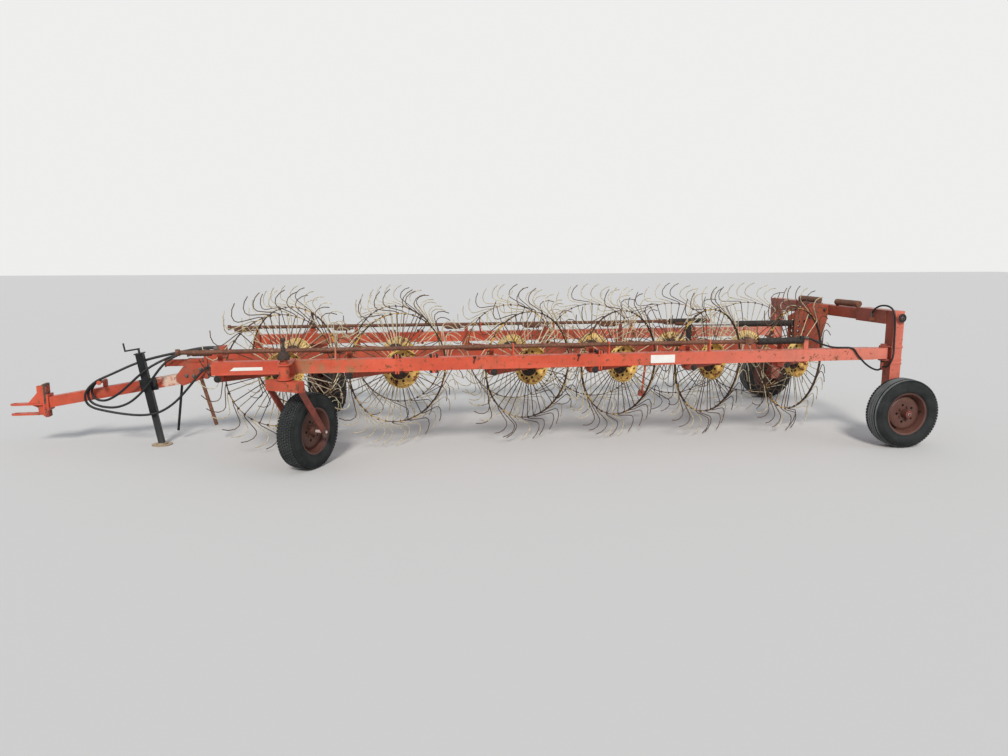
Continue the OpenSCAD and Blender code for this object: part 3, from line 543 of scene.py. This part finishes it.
# One tine in its wheel's plane: radius, sweep in degrees, share of the bow out of the plane
TINE_PATH = (
    (0.098, 0, 0), (0.290, 0, 0), (0.468, 0, 0), (0.481, 0.4, 0), (0.490, 3, 0), (0.527, 16, 0.2),
    (0.545, 19.3, 0.35), (0.572, 20.6, 0.5), (0.612, 19.6, 0.7), (0.650, 16.4, 0.9), (0.677, 12.6, 1),
)
# Share of tines drawn pale on each side, partly worn wire and partly painted highlight, and share that is badly
# bent
PALE_SHARE = {"near": 0.45, "far": 0.7}
BENT_SHARE = 0.05
WALL_HOLES = 16
HOLE_R = 0.0105


def tine_points(rng):
    """One tine with its own small bends."""
    twist = rng.gauss(0, 0.7)
    lean = rng.gauss(0, 0.012)
    bow = rng.gauss(-0.012, 0.012)
    hook = rng.gauss(1, 0.06)
    if rng.random() < BENT_SHARE:
        lean, bow, hook = rng.gauss(0, 0.05), rng.gauss(0, 0.04), rng.uniform(0.7, 1.05)
    path = []
    for radius, sweep_deg, share in TINE_PATH:
        angle = math.radians(sweep_deg * hook + twist)
        out = max(0, radius - 0.165) * lean / 0.5 + bow * share
        path.append((radius * math.cos(angle), radius * math.sin(angle), out - 0.004))
    return path


def tine_wheel(side, number, settings):
    """The tines, the hoop and the pressed dish of one wheel."""
    rng = random.Random(40 * number + (0 if side == "near" else 7))
    place = wheel_place(side, number)
    body = f"{side}_wheel_{number}"
    tines = bmesh.new()
    for turn in around(settings.tines):
        start = len(tines.verts)
        pale = 1 if rng.random() < PALE_SHARE[side] else 0
        sweep(tines, tine_points(rng), settings.tine_wire, 5, material=pale)
        tines.verts.ensure_lookup_table()
        bmesh.ops.transform(tines, matrix=turn, verts=tines.verts[start:])
    add_piece(tines, f"tines_{side}_{number}", ("tine_rust_and_shade", "tine_pale_and_lit"), body, place,
              replaces=(f"tine_wheel_{side}_{number}",))
    hoop = bmesh.new()
    r, half = settings.hoop_radius, 0.011
    lathe(hoop, ((r + 0.003, half), (r + 0.0036, 0), (r + 0.003, -half), (r - 0.002, -half), (r - 0.0028, 0),
                 (r - 0.002, half)), 72)
    # The band's inner face takes the dark finish: dark rust, and painted shade on the inside of the band
    mark((face for face in hoop.faces if reach(face) < r), 1)
    # Clips that hold each tine to the hoop
    clip = bmesh.new()
    block(clip, (r - 0.009, -0.006, -0.010), (r + 0.010, 0.006, 0.003), 0.002)
    mark(clip.faces, 1)
    stamp(hoop, as_mesh(clip, "tine_clip"), around(settings.tines))
    add_piece(hoop, f"hoop_{side}_{number}", ("hoop_outer", "dark_rust_and_shade"), body, place)
    wheel_dish(side, number, settings, place, body)


def wheel_dish(side, number, settings, place, body):
    """The pressed pan, with dark discs painted as shade where its wall is drilled, the clamp ring and the bearing
    housing.
    """
    dish = bmesh.new()
    r, lip = settings.dish_radius, settings.dish_depth
    wall = lathe(dish, ((0.045, 0.004), (0.10, 0.002), (0.128, -0.002), (r - 0.012, 0.002), (r - 0.002, 0.010),
                        (r, 0.020), (r, lip - 0.004), (r + 0.004, lip), (r + 0.004, lip + 0.003),
                        (r - 0.003, lip + 0.003), (r - 0.005, lip - 0.004), (r - 0.005, 0.021),
                        (r - 0.014, 0.009), (0.128, 0.004), (0.10, 0.008), (0.045, 0.010)), 60)
    mark((face for face in wall if reach(face) < 0.11), 1)
    lathe(dish, ((0.034, -0.024), (0.104, -0.018), (0.106, -0.012), (0.104, -0.006), (0.034, -0.006)), 48,
          material=1)
    lathe(dish, ((0.0165, -0.032), (0.033, -0.032), (0.038, -0.024), (0.038, 0.022), (0.033, 0.030),
                 (0.0165, 0.030)), 32, material=1)
    stamp(dish, bolt_stencil("dish_bolt", 0.016, 0.011),
          around(6, Matrix.Translation((0.072, 0, 0.009))) + around(12, Matrix.Translation((0.118, 0, 0.006)), 0.5))
    mark((face for face in dish.faces if reach(face) < 0.128 and face.calc_center_median().z > 0.0075), 1)
    # Flat dark discs on the pan's wall, inside and outside, where it has holes: painted shade standing in for the
    # holes
    for turn in around(WALL_HOLES):
        for depth in (r - 0.0054, r + 0.0004):
            spot = turn @ Matrix.Translation((depth, 0, lip * 0.62)) @ Matrix.Rotation(math.pi / 2, 4, "Y")
            hole = bmesh.ops.create_circle(dish, cap_ends=True, segments=12, radius=HOLE_R, matrix=spot)
            mark(faces_of(hole["verts"]), 1)
    add_piece(dish, f"dish_{side}_{number}", ("dish_yellow", "dark_rust_and_shade"), body, place)


# Road wheels --------------------

# Half of the tyre's outer line: radius, distance from the middle
TYRE_LINE = (
    (0.178, 0.060), (0.184, 0.070), (0.198, 0.078), (0.216, 0.0855), (0.236, 0.0878), (0.250, 0.0862),
    (0.262, 0.0820), (0.275, 0.0765), (0.286, 0.0700), (0.2930, 0.0610),
)
# Ribbed tread across the crown: distance from the middle, 1 for a rib and 0 for the floor of a groove
TREAD_LINE = ((0.0545, 1), (0.053, 0), (0.0435, 0), (0.042, 1), (0.0225, 1), (0.021, 0), (0.0115, 0), (0.010, 1))
# Columns of tread blocks: distance from the middle, 1 for a column that lies half a pitch late
BLOCK_COLUMNS = ((0, 0), (-0.0215, 1), (0.0215, 1), (-0.043, 0), (0.043, 0))
GROOVE = 0.007
STUDS = 5


def crown_radius(z):
    """The tread's slightly rounded outer radius at a distance from the middle."""
    return TYRE_R - 0.0015 * (z / 0.054) ** 2


def tyre(name, body, place, replaces, blocky, settings):
    """A tyre with ribs or blocks on its tread, shoulder lugs and rings on its sidewall."""
    shape = bmesh.new()
    right = [(r, -z) for r, z in TYRE_LINE]
    crown = [(crown_radius(z) - (0 if rib else GROOVE), -z) for z, rib in TREAD_LINE]
    if blocky:
        crown = [(crown_radius(z) - GROOVE, -z) for z in (0.052, 0.035, 0.018, 0)]
    half = right + crown
    profile = half + [(r, -z) for r, z in reversed(half) if z]
    for face in lathe(shape, profile, 96, closed=False):
        # Rib and block tops take the lighter tread finish, partly worn rubber and partly painted highlight; groove
        # floors take the black one, painted shade in the grooves; the ribbed tyre's shoulder also takes the lighter
        # finish
        if abs(face.calc_center_median().z) < 0.056:
            face.material_index = 2 if reach(face) < TYRE_R - 0.004 else 1
        elif not blocky and reach(face) > 0.288:
            face.material_index = 1
    # Rings round the sidewall
    for r, z in ((0.196, 0.0785), (0.252, 0.0866)):
        for s in (-1, 1):
            lathe(shape, ((r - 0.003, s * (z - 0.003)), (r, s * (z + 0.0012)), (r + 0.003, s * (z - 0.003))), 72)
    pitch = settings.tread_pitches
    wide = math.pi * TYRE_R / pitch - 0.0032
    lug = bmesh.new()
    for z, late in BLOCK_COLUMNS if blocky else ():
        turn = Matrix.Rotation(late * math.pi / pitch, 4, "Z")
        block(lug, (TYRE_R - 0.012, -wide, z - 0.0083), (crown_radius(z) - 0.0003, wide, z + 0.0083), 0.0010, turn,
              material=1)
    for s in (-1, 1):
        tilt = Matrix.Translation((0.2868, 0, s * 0.0665)) @ Matrix.Rotation(s * math.radians(38), 4, "Y")
        block(lug, (-0.006, -wide, -0.010), (0.0022, wide, 0.010), 0.0012, tilt)
    stamp(shape, as_mesh(lug, "tread_lug"), around(pitch))
    add_piece(shape, name, ("tyre_rubber", "worn_tread_and_highlight", "black_and_painted_shade"), body, place,
              replaces=replaces)


def rim(name, body, place, replaces, bore, cap, inner):
    """A pressed steel rim with five studs, a hub and a valve."""
    shape = bmesh.new()
    half = 0.063
    lathe(shape, ((0.1777, -half), (0.186, -half - 0.002), (0.188, -half - 0.005), (0.184, -half - 0.007),
                  (0.170, -half - 0.003), (0.166, -half + 0.006), (0.150, -0.030), (0.148, 0.014), (0.160, 0.034),
                  (0.166, half - 0.006), (0.170, half + 0.003), (0.184, half + 0.007), (0.188, half + 0.005),
                  (0.186, half + 0.002), (0.1777, half), (0.1725, half - 0.012), (0.166, 0.030), (0.154, 0.014),
                  (0.156, -0.030), (0.172, -half + 0.012)), 72)
    disc = lathe(shape, ((bore, 0.034), (0.092, 0.0345), (0.120, 0.032), (0.138, 0.026), (0.1495, 0.012),
                         (0.149, 0.004), (0.136, 0.020), (0.118, 0.026), (0.092, 0.0285), (bore, 0.028)), 60)
    # Four slots between the disc and the rim, drawn as black faces on the disc: painted shade standing in for the
    # slots
    for face in disc:
        middle = face.calc_center_median()
        turn = math.degrees(math.atan2(middle.y, middle.x)) % 90
        if reach(face) > 0.139 and middle.z > 0.012 and 27 < turn < 63:
            face.material_index = 2
    lathe(shape, ((bore, -inner), (0.037, -inner), (0.040, -inner + 0.006), (0.040, 0.040), (0.034, 0.058),
                  (0.033, 0.072), (bore, 0.072)), 36)
    if cap:
        drum(shape, 0.031, 0.026, 32, 0.006, Matrix.Translation((0, 0, 0.068)), material=3)
        drum(shape, 0.014, 0.006, 24, 0.0015, Matrix.Translation((0, 0, 0.0925)), material=1)
    stamp(shape, bolt_stencil("wheel_nut", 0.017, 0.014, washer=False),
          around(STUDS, Matrix.Translation((0.057, 0, 0.034))))
    # Flat black discs between the studs: painted shade standing in for the holes
    for spot in around(STUDS, Matrix.Translation((0.076, 0, 0.0356)), 0.5):
        hole = bmesh.ops.create_circle(shape, cap_ends=True, segments=16, radius=HOLE_R, matrix=spot)
        mark(faces_of(hole["verts"]), 2)
    sweep(shape, ((0.140, 0.01, 0.024), (0.142, 0.01, 0.040), (0.146, 0.01, 0.052)), 0.004, 8, material=2)
    add_piece(shape, name, ("rim_paint", "cap_grey", "black_and_painted_shade", "hub_paint"), body, place,
              replaces=replaces)


# Bolts, plates, springs and small parts --------------------

# Joint plates of the beam: distance ahead of the rear axle, half height
JOINT_PLATES = ((4.330, 0.072), (4.040, 0.072), (2.680, 0.078))
BAND_Z = (0.713, 0.857)
HOOK_X = (-0.071, 0.782)
# Outlines of the beam's blank plates, as (x, z)
PLATES = (((-1.935, 0.783), (-1.905, 0.808), (-1.695, 0.808), (-1.695, 0.783)),
          ((1.400, 0.7665), (1.400, 0.8335), (1.610, 0.8335), (1.610, 0.7665)))


def beam_hardware(side):
    """Bolts of the joint plates, and the pivots' bolts and washers, of one beam."""
    shape = bmesh.new()
    places = []
    for ahead, half in JOINT_PLATES:
        for end in (-1, 1):
            for up in (-1, 1):
                for y in (-0.03, 0.03):
                    point = (REAR_X - ahead + end * 0.0165, -POST_Y + y, BEAM_Z + up * (half - 0.011))
                    places.append(facing(point, (end, 0, 0)))
    places += [facing((x, -BEAM_FACE - 0.005, PIVOT_Z), (0, -1, 0)) for x in PIVOT_X]
    stamp(shape, bolt_stencil("beam_bolt", 0.022, 0.016), places)
    for x in PIVOT_X:
        lathe(shape, ((0.012, 0), (0.026, 0), (0.028, 0.002), (0.026, 0.005), (0.012, 0.005)), 28,
              facing((x, -BEAM_FACE - 0.004, PIVOT_Z), (0, -1, 0)))
    add_piece(shape, f"beam_bolts_{side}", ("dark_steel",), f"{side}_beam", on_side(side))


def caster_hardware(side):
    """The caster's lock rod on its cap and the axle's nuts."""
    place = caster_place(side)
    rod = bmesh.new()
    lathe(rod, ((0.0, 0.889), (0.044, 0.889), (0.045, 0.905), (0.041, 0.928), (0.034, 0.944), (0.018, 0.954),
                (0.016, 0.974), (0.012, 0.986), (0.011, 1.022), (0.017, 1.028), (0.019, 1.038), (0.015, 1.049),
                (0.0, 1.053)), 32, closed=False)
    add_piece(rod, f"lock_rod_{side}", ("dark_rust_and_shade",), f"{side}_caster", place)
    ends = bmesh.new()
    stamp(ends, bolt_stencil("axle_nut", 0.026, 0.018),
          [facing((TRAIL, y, TYRE_R), (0, y, 0)) for y in (-0.148, 0.148)])
    add_piece(ends, f"axle_nuts_{side}", ("bolt_steel",), f"{side}_caster", place)


def post_hardware(side):
    """The round head on the post's top, the end of the hinge pin and the bands at the lugs."""
    shape = bmesh.new()
    head = facing((REAR_X + 0.008, -1.0755, 1.11), (0, -1, 0))
    drum(shape, 0.0385, 0.006, 40, 0.002, head)
    drum(shape, 0.013, 0.005, 24, 0.0012, head @ Matrix.Translation((0, 0, 0.0055)), material=1)
    drum(shape, 0.0155, 0.026, 32, 0.002, Matrix.Translation((REAR_X - 0.095, -POST_Y, 0.7185)))
    add_piece(shape, f"post_hardware_{side}", ("dark_steel", "cap_grey"), "frame", on_side(side))
    bands = bmesh.new()
    for z in BAND_Z:
        front, back, outer, inner = REAR_X - 0.056, REAR_X + 0.054, -BEAM_FACE - 0.006, -BEAM_FACE + 0.004
        block(bands, (front, outer, z - 0.004), (back, inner, z + 0.007), 0.002)
        # A black strip just under each band: painted shadow of the band
        block(bands, (front, outer + 0.002, z - 0.012), (back, inner, z - 0.003), 0.0005, material=1)
    add_piece(bands, f"post_bands_{side}", ("post_paint", "black_and_painted_shade"), "frame", on_side(side))


def beam_hooks(side):
    """Small round-bar hooks on the beam's outer face."""
    shape = bmesh.new()
    for x in HOOK_X:
        path = [(x + 0.006 * math.cos(k * 0.6), -BEAM_FACE - 0.008, 0.856 - 0.011 * k) for k in range(6)]
        sweep(shape, path, 0.005, 8)
        block(shape, (x - 0.010, -BEAM_FACE - 0.010, 0.842), (x + 0.016, -BEAM_FACE + 0.001, 0.856), 0.002)
    add_piece(shape, f"beam_hooks_{side}", ("dark_steel",), f"{side}_beam", on_side(side))


def spine_hardware():
    """Bolts of the front flange, the drawbar's head and the mast, and the opening cylinder's bright rod."""
    shape = bmesh.new()
    places = [facing((-2.3375, y, z), (-1, 0, 0)) for y in (-0.052, 0.052) for z in (0.80, 0.74, 0.655, 0.595)]
    places += [facing((-2.313, y, z), (1, 0, 0)) for y in (-0.058, 0.058) for z in (0.655, 0.595)]
    head = [(x, 0.0573, z) for x, z in ((-2.49, 0.605), (-2.43, 0.60), (-2.37, 0.66))]
    mast = [(x, 0.074, z) for x, z in ((3.29, 0.79), (3.36, 0.74), (3.50, 0.80), (3.40, 1.05), (3.56, 1.12))]
    places += [facing((x, s * y, z), (0, s, 0)) for x, y, z in head + mast for s in (-1, 1)]
    stamp(shape, bolt_stencil("flange_bolt", 0.022, 0.016), places)
    add_piece(shape, "frame_bolts", ("bolt_steel",), "frame")
    rod = bmesh.new()
    sweep(rod, ((2.192, 0, 0.98), (2.668, 0, 0.98)), 0.0154, 32)
    add_piece(rod, "bright_rod", ("bright_rod",), "frame")


def label_plates(side):
    """The beam's blank plates: a slanted one at the front and a square-cut one at the back."""
    shape = bmesh.new()
    for outline in PLATES:
        made = shape.faces.new([shape.verts.new((x, -BEAM_FACE - 0.0004, z)) for x, z in outline])
        grown = bmesh.ops.extrude_face_region(shape, geom=[made])["geom"]
        bmesh.ops.translate(shape, vec=(0, -0.0010, 0),
                            verts=[g for g in grown if isinstance(g, bmesh.types.BMVert)])
    add_piece(shape, f"blank_plates_{side}", ("blank_plate",), f"{side}_beam", on_side(side),
              smooth=False)


def bar_springs(side):
    """A float spring on each spring unit of the lift bar."""
    shape = bmesh.new()
    turns, per_turn, radius, length = 11, 12, 0.0185, 0.14
    for x in PIVOT_X:
        place = facing((x - 0.205, SPRING_Y, SPRING_Z), (1, 0, 0))
        path = []
        for k in range(turns * per_turn + 1):
            angle = math.tau * k / per_turn
            rise = length * k / (turns * per_turn)
            path.append(place @ Vector((radius * math.cos(angle), radius * math.sin(angle), rise)))
        sweep(shape, path, 0.0034, 6)
    add_piece(shape, f"float_springs_{side}", ("lift_bar_rust",), f"{side}_bar", on_side(side))


# Hoses --------------------

# Middle of the swivel under the near hinge pin, where two hoses meet, and how far it reaches
SWIVEL = Vector((3.555, -1.0, 0.67))
SWIVEL_REACH = 0.04

# The hoses in millimetres, as in the CAD: radius, the body that it rides on and its route
HOSES = {
    "hose_low": (10, "frame", (
        (-2200, -33, 842), (-2275, -33, 845), (-2350, -33, 842), (-2430, -35, 830), (-2510, -36, 815),
        (-2590, -36, 800), (-2670, -36, 784), (-2750, -36, 766), (-2830, -37, 745), (-2900, -46, 722),
        (-2965, -62, 697), (-3030, -82, 668), (-3090, -102, 641), (-3145, -117, 617), (-3190, -128, 596),
        (-3235, -131, 565), (-3275, -133, 525), (-3300, -135, 478), (-3302, -137, 430), (-3282, -139, 388),
        (-3240, -140, 358), (-3180, -141, 338), (-3110, -142, 320), (-3030, -143, 303), (-2950, -144, 290),
        (-2870, -145, 283), (-2790, -145, 287), (-2715, -144, 304), (-2645, -142, 340), (-2580, -139, 388),
        (-2525, -135, 442), (-2475, -130, 498), (-2430, -122, 552), (-2388, -110, 606), (-2343, -98, 652),
        (-2295, -91, 686), (-2245, -90, 690))),
    "hose_middle": (10, "frame", (
        (-2200, -11, 842), (-2275, -11, 845), (-2350, -11, 842), (-2430, -12, 830), (-2510, -13, 815),
        (-2590, -13, 800), (-2670, -13, 784), (-2750, -13, 766), (-2830, -15, 745), (-2900, -23, 722),
        (-2965, -37, 697), (-3030, -55, 668), (-3090, -73, 641), (-3145, -88, 617), (-3190, -98, 596),
        (-3235, -103, 562), (-3270, -107, 522), (-3286, -110, 476), (-3280, -114, 430), (-3250, -118, 394),
        (-3200, -122, 371), (-3140, -127, 358), (-3075, -132, 356), (-3010, -137, 370), (-2945, -141, 400),
        (-2885, -144, 446), (-2830, -145, 500), (-2780, -145, 560), (-2735, -143, 620), (-2690, -136, 680),
        (-2640, -126, 733), (-2580, -113, 775), (-2510, -99, 805), (-2430, -85, 828), (-2350, -77, 841),
        (-2275, -77, 845), (-2200, -77, 842))),
    "hose_upper": (10, "frame", (
        (-2200, 11, 842), (-2275, 11, 845), (-2350, 11, 842), (-2430, 11, 830), (-2510, 10, 815),
        (-2590, 10, 800), (-2670, 10, 784), (-2750, 9, 766), (-2830, 7, 745), (-2900, 0, 722),
        (-2965, -13, 697), (-3030, -29, 668), (-3090, -46, 641), (-3145, -60, 617), (-3190, -68, 596),
        (-3232, -73, 562), (-3260, -78, 521), (-3264, -84, 476), (-3244, -92, 438), (-3202, -101, 416),
        (-3148, -111, 416), (-3090, -121, 440), (-3030, -130, 478), (-2975, -136, 524), (-2920, -141, 573),
        (-2865, -144, 622), (-2810, -143, 668), (-2750, -134, 708), (-2685, -117, 743), (-2615, -96, 774),
        (-2540, -75, 800), (-2450, -60, 824), (-2350, -55, 841), (-2275, -55, 845), (-2200, -55, 842))),
    "hose_beam": (8, "near_beam", (
        (2777, -1022, 956), (2830, -1024, 944), (2890, -1024, 919), (2950, -1022, 893), (3010, -1021, 874),
        (3065, -1020, 862), (3120, -1026, 859), (3170, -1040, 860), (3200, -1054, 859), (3230, -1063, 846),
        (3262, -1064, 806), (3300, -1064, 764), (3345, -1063, 722), (3395, -1060, 688), (3445, -1052, 666),
        (3495, -1035, 656), (3542, -1008, 663))),
    "hose_post": (8, "frame", (
        (3555, -1015, 680), (3557, -1044, 683), (3562, -1070, 697), (3570, -1088, 724), (3580, -1095, 758),
        (3590, -1092, 797), (3597, -1084, 838), (3600, -1077, 885), (3601, -1073, 935), (3601, -1071, 990),
        (3600, -1069, 1045), (3597, -1067, 1100), (3592, -1059, 1150), (3586, -1035, 1188), (3582, -997, 1206),
        (3578, -948, 1212), (3576, -892, 1206), (3574, -842, 1187), (3573, -804, 1158), (3573, -782, 1128),
        (3573, -776, 1095))),
}


def smooth_route(points, steps=4):
    """A curve through the route's points, with a few more points between each two."""
    ends = [points[0] * 2 - points[1], *points, points[-1] * 2 - points[-2]]
    curve = []
    for a, b, c, d in zip(ends, ends[1:], ends[2:], ends[3:]):
        for k in range(steps):
            t = k / steps
            curve.append(0.5 * (2 * b + (c - a) * t + (2 * a - 5 * b + 4 * c - d) * t * t
                                + (3 * b - a - 3 * c + d) * t ** 3))
    return [*curve, points[-1]]


def hose(name):
    """A hydraulic hose along its route, with a crimped sleeve and a nut at each end but the swivel's."""
    radius, body, route = HOSES[name]
    radius *= 0.001
    curve = smooth_route([Vector(p) * 0.001 for p in route])
    shape = bmesh.new()
    sweep(shape, curve, radius, 12)
    tube = add_piece(shape, name + "_tube", ("hose_rubber",), body, replaces=(name,))
    ends = bmesh.new()
    for tip, inner in ((curve[0], curve[3]), (curve[-1], curve[-4])):
        if (tip - SWIVEL).length > SWIVEL_REACH:
            place = facing(tip, inner - tip)
            drum(ends, radius * 1.32, 0.034, 20, 0.002, place @ Matrix.Translation((0, 0, 0.012)))
            drum(ends, radius * 1.45, 0.012, 6, 0.001, place)
    sleeves = add_piece(ends, name + "_sleeves", ("bolt_steel",), body)


# Operators --------------------

class RakePaintSettings(bpy.types.PropertyGroup):
    sunlit_paint: FloatVectorProperty(
        name="Sunlit paint", description="Faded orange-red of the sunlit faces", subtype="COLOR", size=3, min=0,
        max=1, default=(0.58, 0.090, 0.042))
    deep_paint: FloatVectorProperty(
        name="Deep paint", description="Older, deeper red of the sheltered faces", subtype="COLOR", size=3, min=0,
        max=1, default=(0.46, 0.060, 0.028))
    wear: FloatProperty(
        name="Wear", description="How much rust breaks through the paint", subtype="FACTOR", min=0, max=1.5,
        default=0.75)


class RakeWheelSettings(bpy.types.PropertyGroup):
    tines: IntProperty(
        name="Tines", description="Tines on each wheel", min=12, max=60, default=40)
    tine_wire: FloatProperty(
        name="Tine wire", description="Radius of a tine's wire", unit="LENGTH", subtype="DISTANCE", min=0.001,
        max=0.01, default=0.0040)
    hoop_radius: FloatProperty(
        name="Hoop", description="Radius of the hoop that ties the tines", unit="LENGTH", subtype="DISTANCE",
        min=0.3, max=0.6, default=0.470)
    dish_radius: FloatProperty(
        name="Dish", description="Radius of the pressed dish", unit="LENGTH", subtype="DISTANCE", min=0.1, max=0.3,
        default=0.165)
    dish_depth: FloatProperty(
        name="Dish depth", description="Depth of the dish's wall", unit="LENGTH", subtype="DISTANCE", min=0.01,
        max=0.1, default=0.060)
    tread_pitches: IntProperty(
        name="Tread pitches", description="Lugs round a tyre", min=24, max=120, default=72)


class RakeStageSettings(bpy.types.PropertyGroup):
    lens: FloatProperty(
        name="Lens", description="Focal length of the camera", unit="CAMERA", min=10, max=100, default=26.79)
    key_power: FloatProperty(
        name="Key light", description="Strength of the key light", min=0, max=20, default=2.6)
    floor_shade: FloatVectorProperty(
        name="Floor", description="Pale floor", subtype="COLOR", size=3, min=0, max=1, default=(0.62, 0.61, 0.59))


class RAKE_OT_finishes(bpy.types.Operator):
    """Makes every finish and gives each carried-over CAD node its own"""
    bl_idname = "rake.finishes"
    bl_label = "Finishes"

    def execute(self, context):
        make_finishes(context.scene.rake_paint)
        for name, cad in frame["nodes"].items():
            finish = next((f for key, f in CARRIED.items() if name.startswith(key)), "frame_paint")
            cad.data.materials.clear()
            cad.data.materials.append(bpy.data.materials["finish_" + finish])
        return {"FINISHED"}


class RAKE_OT_frame_shapes(bpy.types.Operator):
    """Softens the edges of the welded frame's tubes and plates"""
    bl_idname = "rake.frame_shapes"
    bl_label = "Frame tubes and plates"

    def execute(self, context):
        for row in ROUNDED:
            round_node(*row)
        return {"FINISHED"}


class RAKE_OT_tine_wheels(bpy.types.Operator):
    """Builds the twelve tined wheels"""
    bl_idname = "rake.tine_wheels"
    bl_label = "Tined wheels"

    def execute(self, context):
        for side in SIDES:
            for number in range(1, len(PIVOT_X) + 1):
                tine_wheel(side, number, context.scene.rake_wheels)
        return {"FINISHED"}


class RAKE_OT_road_wheels(bpy.types.Operator):
    """Builds the four tyres and rims"""
    bl_idname = "rake.road_wheels"
    bl_label = "Tyres and rims"

    def execute(self, context):
        settings = context.scene.rake_wheels
        for side in SIDES:
            # Which wheel, its place, blocky or ribbed tread, the hub's bore, whether it has a cap, the hub's depth
            for kind, place, blocky, bore, cap, inner in (
                    ("rear", rear_wheel_place(side), False, 0.0225, True, 0.055),
                    ("caster", caster_wheel_place(side), True, 0.0125, False, 0.070)):
                body = f"{side}_{kind}_wheel"
                tyre(f"{kind}_tread_{side}", body, place, (f"{kind}_tyre_{side}",), blocky, settings)
                rim(f"{kind}_rim_shape_{side}", body, place, (f"{kind}_rim_{side}",), bore, cap, inner)
        return {"FINISHED"}


class RAKE_OT_hoses(bpy.types.Operator):
    """Hangs the hydraulic hoses along their routes"""
    bl_idname = "rake.hoses"
    bl_label = "Hoses"

    def execute(self, context):
        for name in HOSES:
            hose(name)
        return {"FINISHED"}


class RAKE_OT_hardware(bpy.types.Operator):
    """Adds bolts, blank plates, springs and small parts"""
    bl_idname = "rake.hardware"
    bl_label = "Hardware"

    def execute(self, context):
        for side in SIDES:
            for fit in (beam_hardware, beam_hooks, caster_hardware, post_hardware, label_plates, bar_springs):
                fit(side)
        spine_hardware()
        return {"FINISHED"}


class RAKE_OT_stage(bpy.types.Operator):
    """Lays the pale floor, the studio light and the camera"""
    bl_idname = "rake.stage"
    bl_label = "Stage and camera"

    def execute(self, context):
        scene, settings = context.scene, context.scene.rake_stage
        shape = bmesh.new()
        bmesh.ops.create_grid(shape, x_segments=1, y_segments=1, size=60)
        mesh = as_mesh(shape, "floor")
        floor = bpy.data.objects.new("floor", mesh)
        scene.collection.objects.link(floor)
        shader = new_finish("floor_grey", Roughness=0.9)[1]
        shader.inputs["Base Color"].default_value = (*settings.floor_shade, 1)
        mesh.materials.append(bpy.data.materials["finish_floor_grey"])
        scene.world = bpy.data.worlds.new("studio")
        scene.world.use_nodes = True
        tree = scene.world.node_tree
        tree.nodes.clear()
        seen = node(tree, "Background", {"Color": (0.86, 0.86, 0.85, 1), "Strength": 1.0}).outputs[0]
        light = node(tree, "Background", {"Color": (0.80, 0.86, 0.95, 1), "Strength": 0.55}).outputs[0]
        ray = node(tree, "LightPath").outputs
        share = sums(tree, "MAXIMUM", ray["Is Camera Ray"], ray["Is Glossy Ray"])
        blend = node(tree, "MixShader", {0: share, 1: light, 2: seen}).outputs[0]
        node(tree, "OutputWorld", {"Surface": blend})
        # Name, where it shines from, power, width in degrees and tint of each lamp
        for name, spot, power, soft, tint in (
                ("key_sun", (-1.6, -7.0, 5.8), settings.key_power, 12, (1.0, 0.97, 0.93)),
                ("fill_sun", (7.0, -4.0, 5.0), settings.key_power * 0.14, 60, (0.90, 0.95, 1.0))):
            data = bpy.data.lights.new(name, "SUN")
            data.energy = power
            data.angle = math.radians(soft)
            data.color = tint
            lamp = bpy.data.objects.new(name, data)
            lamp.matrix_world = facing(Vector(spot), Vector(spot) - Vector((0, 0, 0.6)))
            scene.collection.objects.link(lamp)
        lens = bpy.data.cameras.new("photo_view")
        lens.lens = settings.lens
        lens.sensor_width = 36
        camera = bpy.data.objects.new("photo_view", lens)
        camera.location = (-0.795, -6.923, 1.65)
        camera.rotation_euler = (math.radians(80.69), 0, math.radians(-9.32))
        scene.collection.objects.link(camera)
        scene.camera = camera
        scene.view_settings.view_transform = "Standard"
        return {"FINISHED"}


class RAKE_PT_panel(bpy.types.Panel):
    """Lists the rake's sizes, colours and steps"""
    bl_idname = "RAKE_PT_panel"
    bl_label = "Hay Rake"
    bl_space_type = "VIEW_3D"
    bl_region_type = "UI"
    bl_category = "Hay Rake"

    def draw(self, context):
        for group in GROUPS:
            settings = getattr(context.scene, group)
            for key in settings.bl_rna.properties.keys():
                if key not in {"rna_type", "name"}:
                    self.layout.prop(settings, key)
        for step in STEPS:
            self.layout.operator(step.bl_idname)


GROUPS = {"rake_paint": RakePaintSettings, "rake_wheels": RakeWheelSettings, "rake_stage": RakeStageSettings}
STEPS = (RAKE_OT_finishes, RAKE_OT_frame_shapes, RAKE_OT_tine_wheels, RAKE_OT_road_wheels, RAKE_OT_hoses,
         RAKE_OT_hardware, RAKE_OT_stage)
CLASSES = (*GROUPS.values(), *STEPS, RAKE_PT_panel)


def register():
    for item in CLASSES:
        bpy.utils.register_class(item)
    for name, group in GROUPS.items():
        setattr(bpy.types.Scene, name, PointerProperty(type=group))


def unregister():
    for name in GROUPS:
        delattr(bpy.types.Scene, name)
    for item in reversed(CLASSES):
        bpy.utils.unregister_class(item)


def main():
    """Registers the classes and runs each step."""
    register()
    for step in STEPS:
        group, action = step.bl_idname.split(".")
        getattr(getattr(bpy.ops, group), action)()


if __name__ == "__main__":
    main()
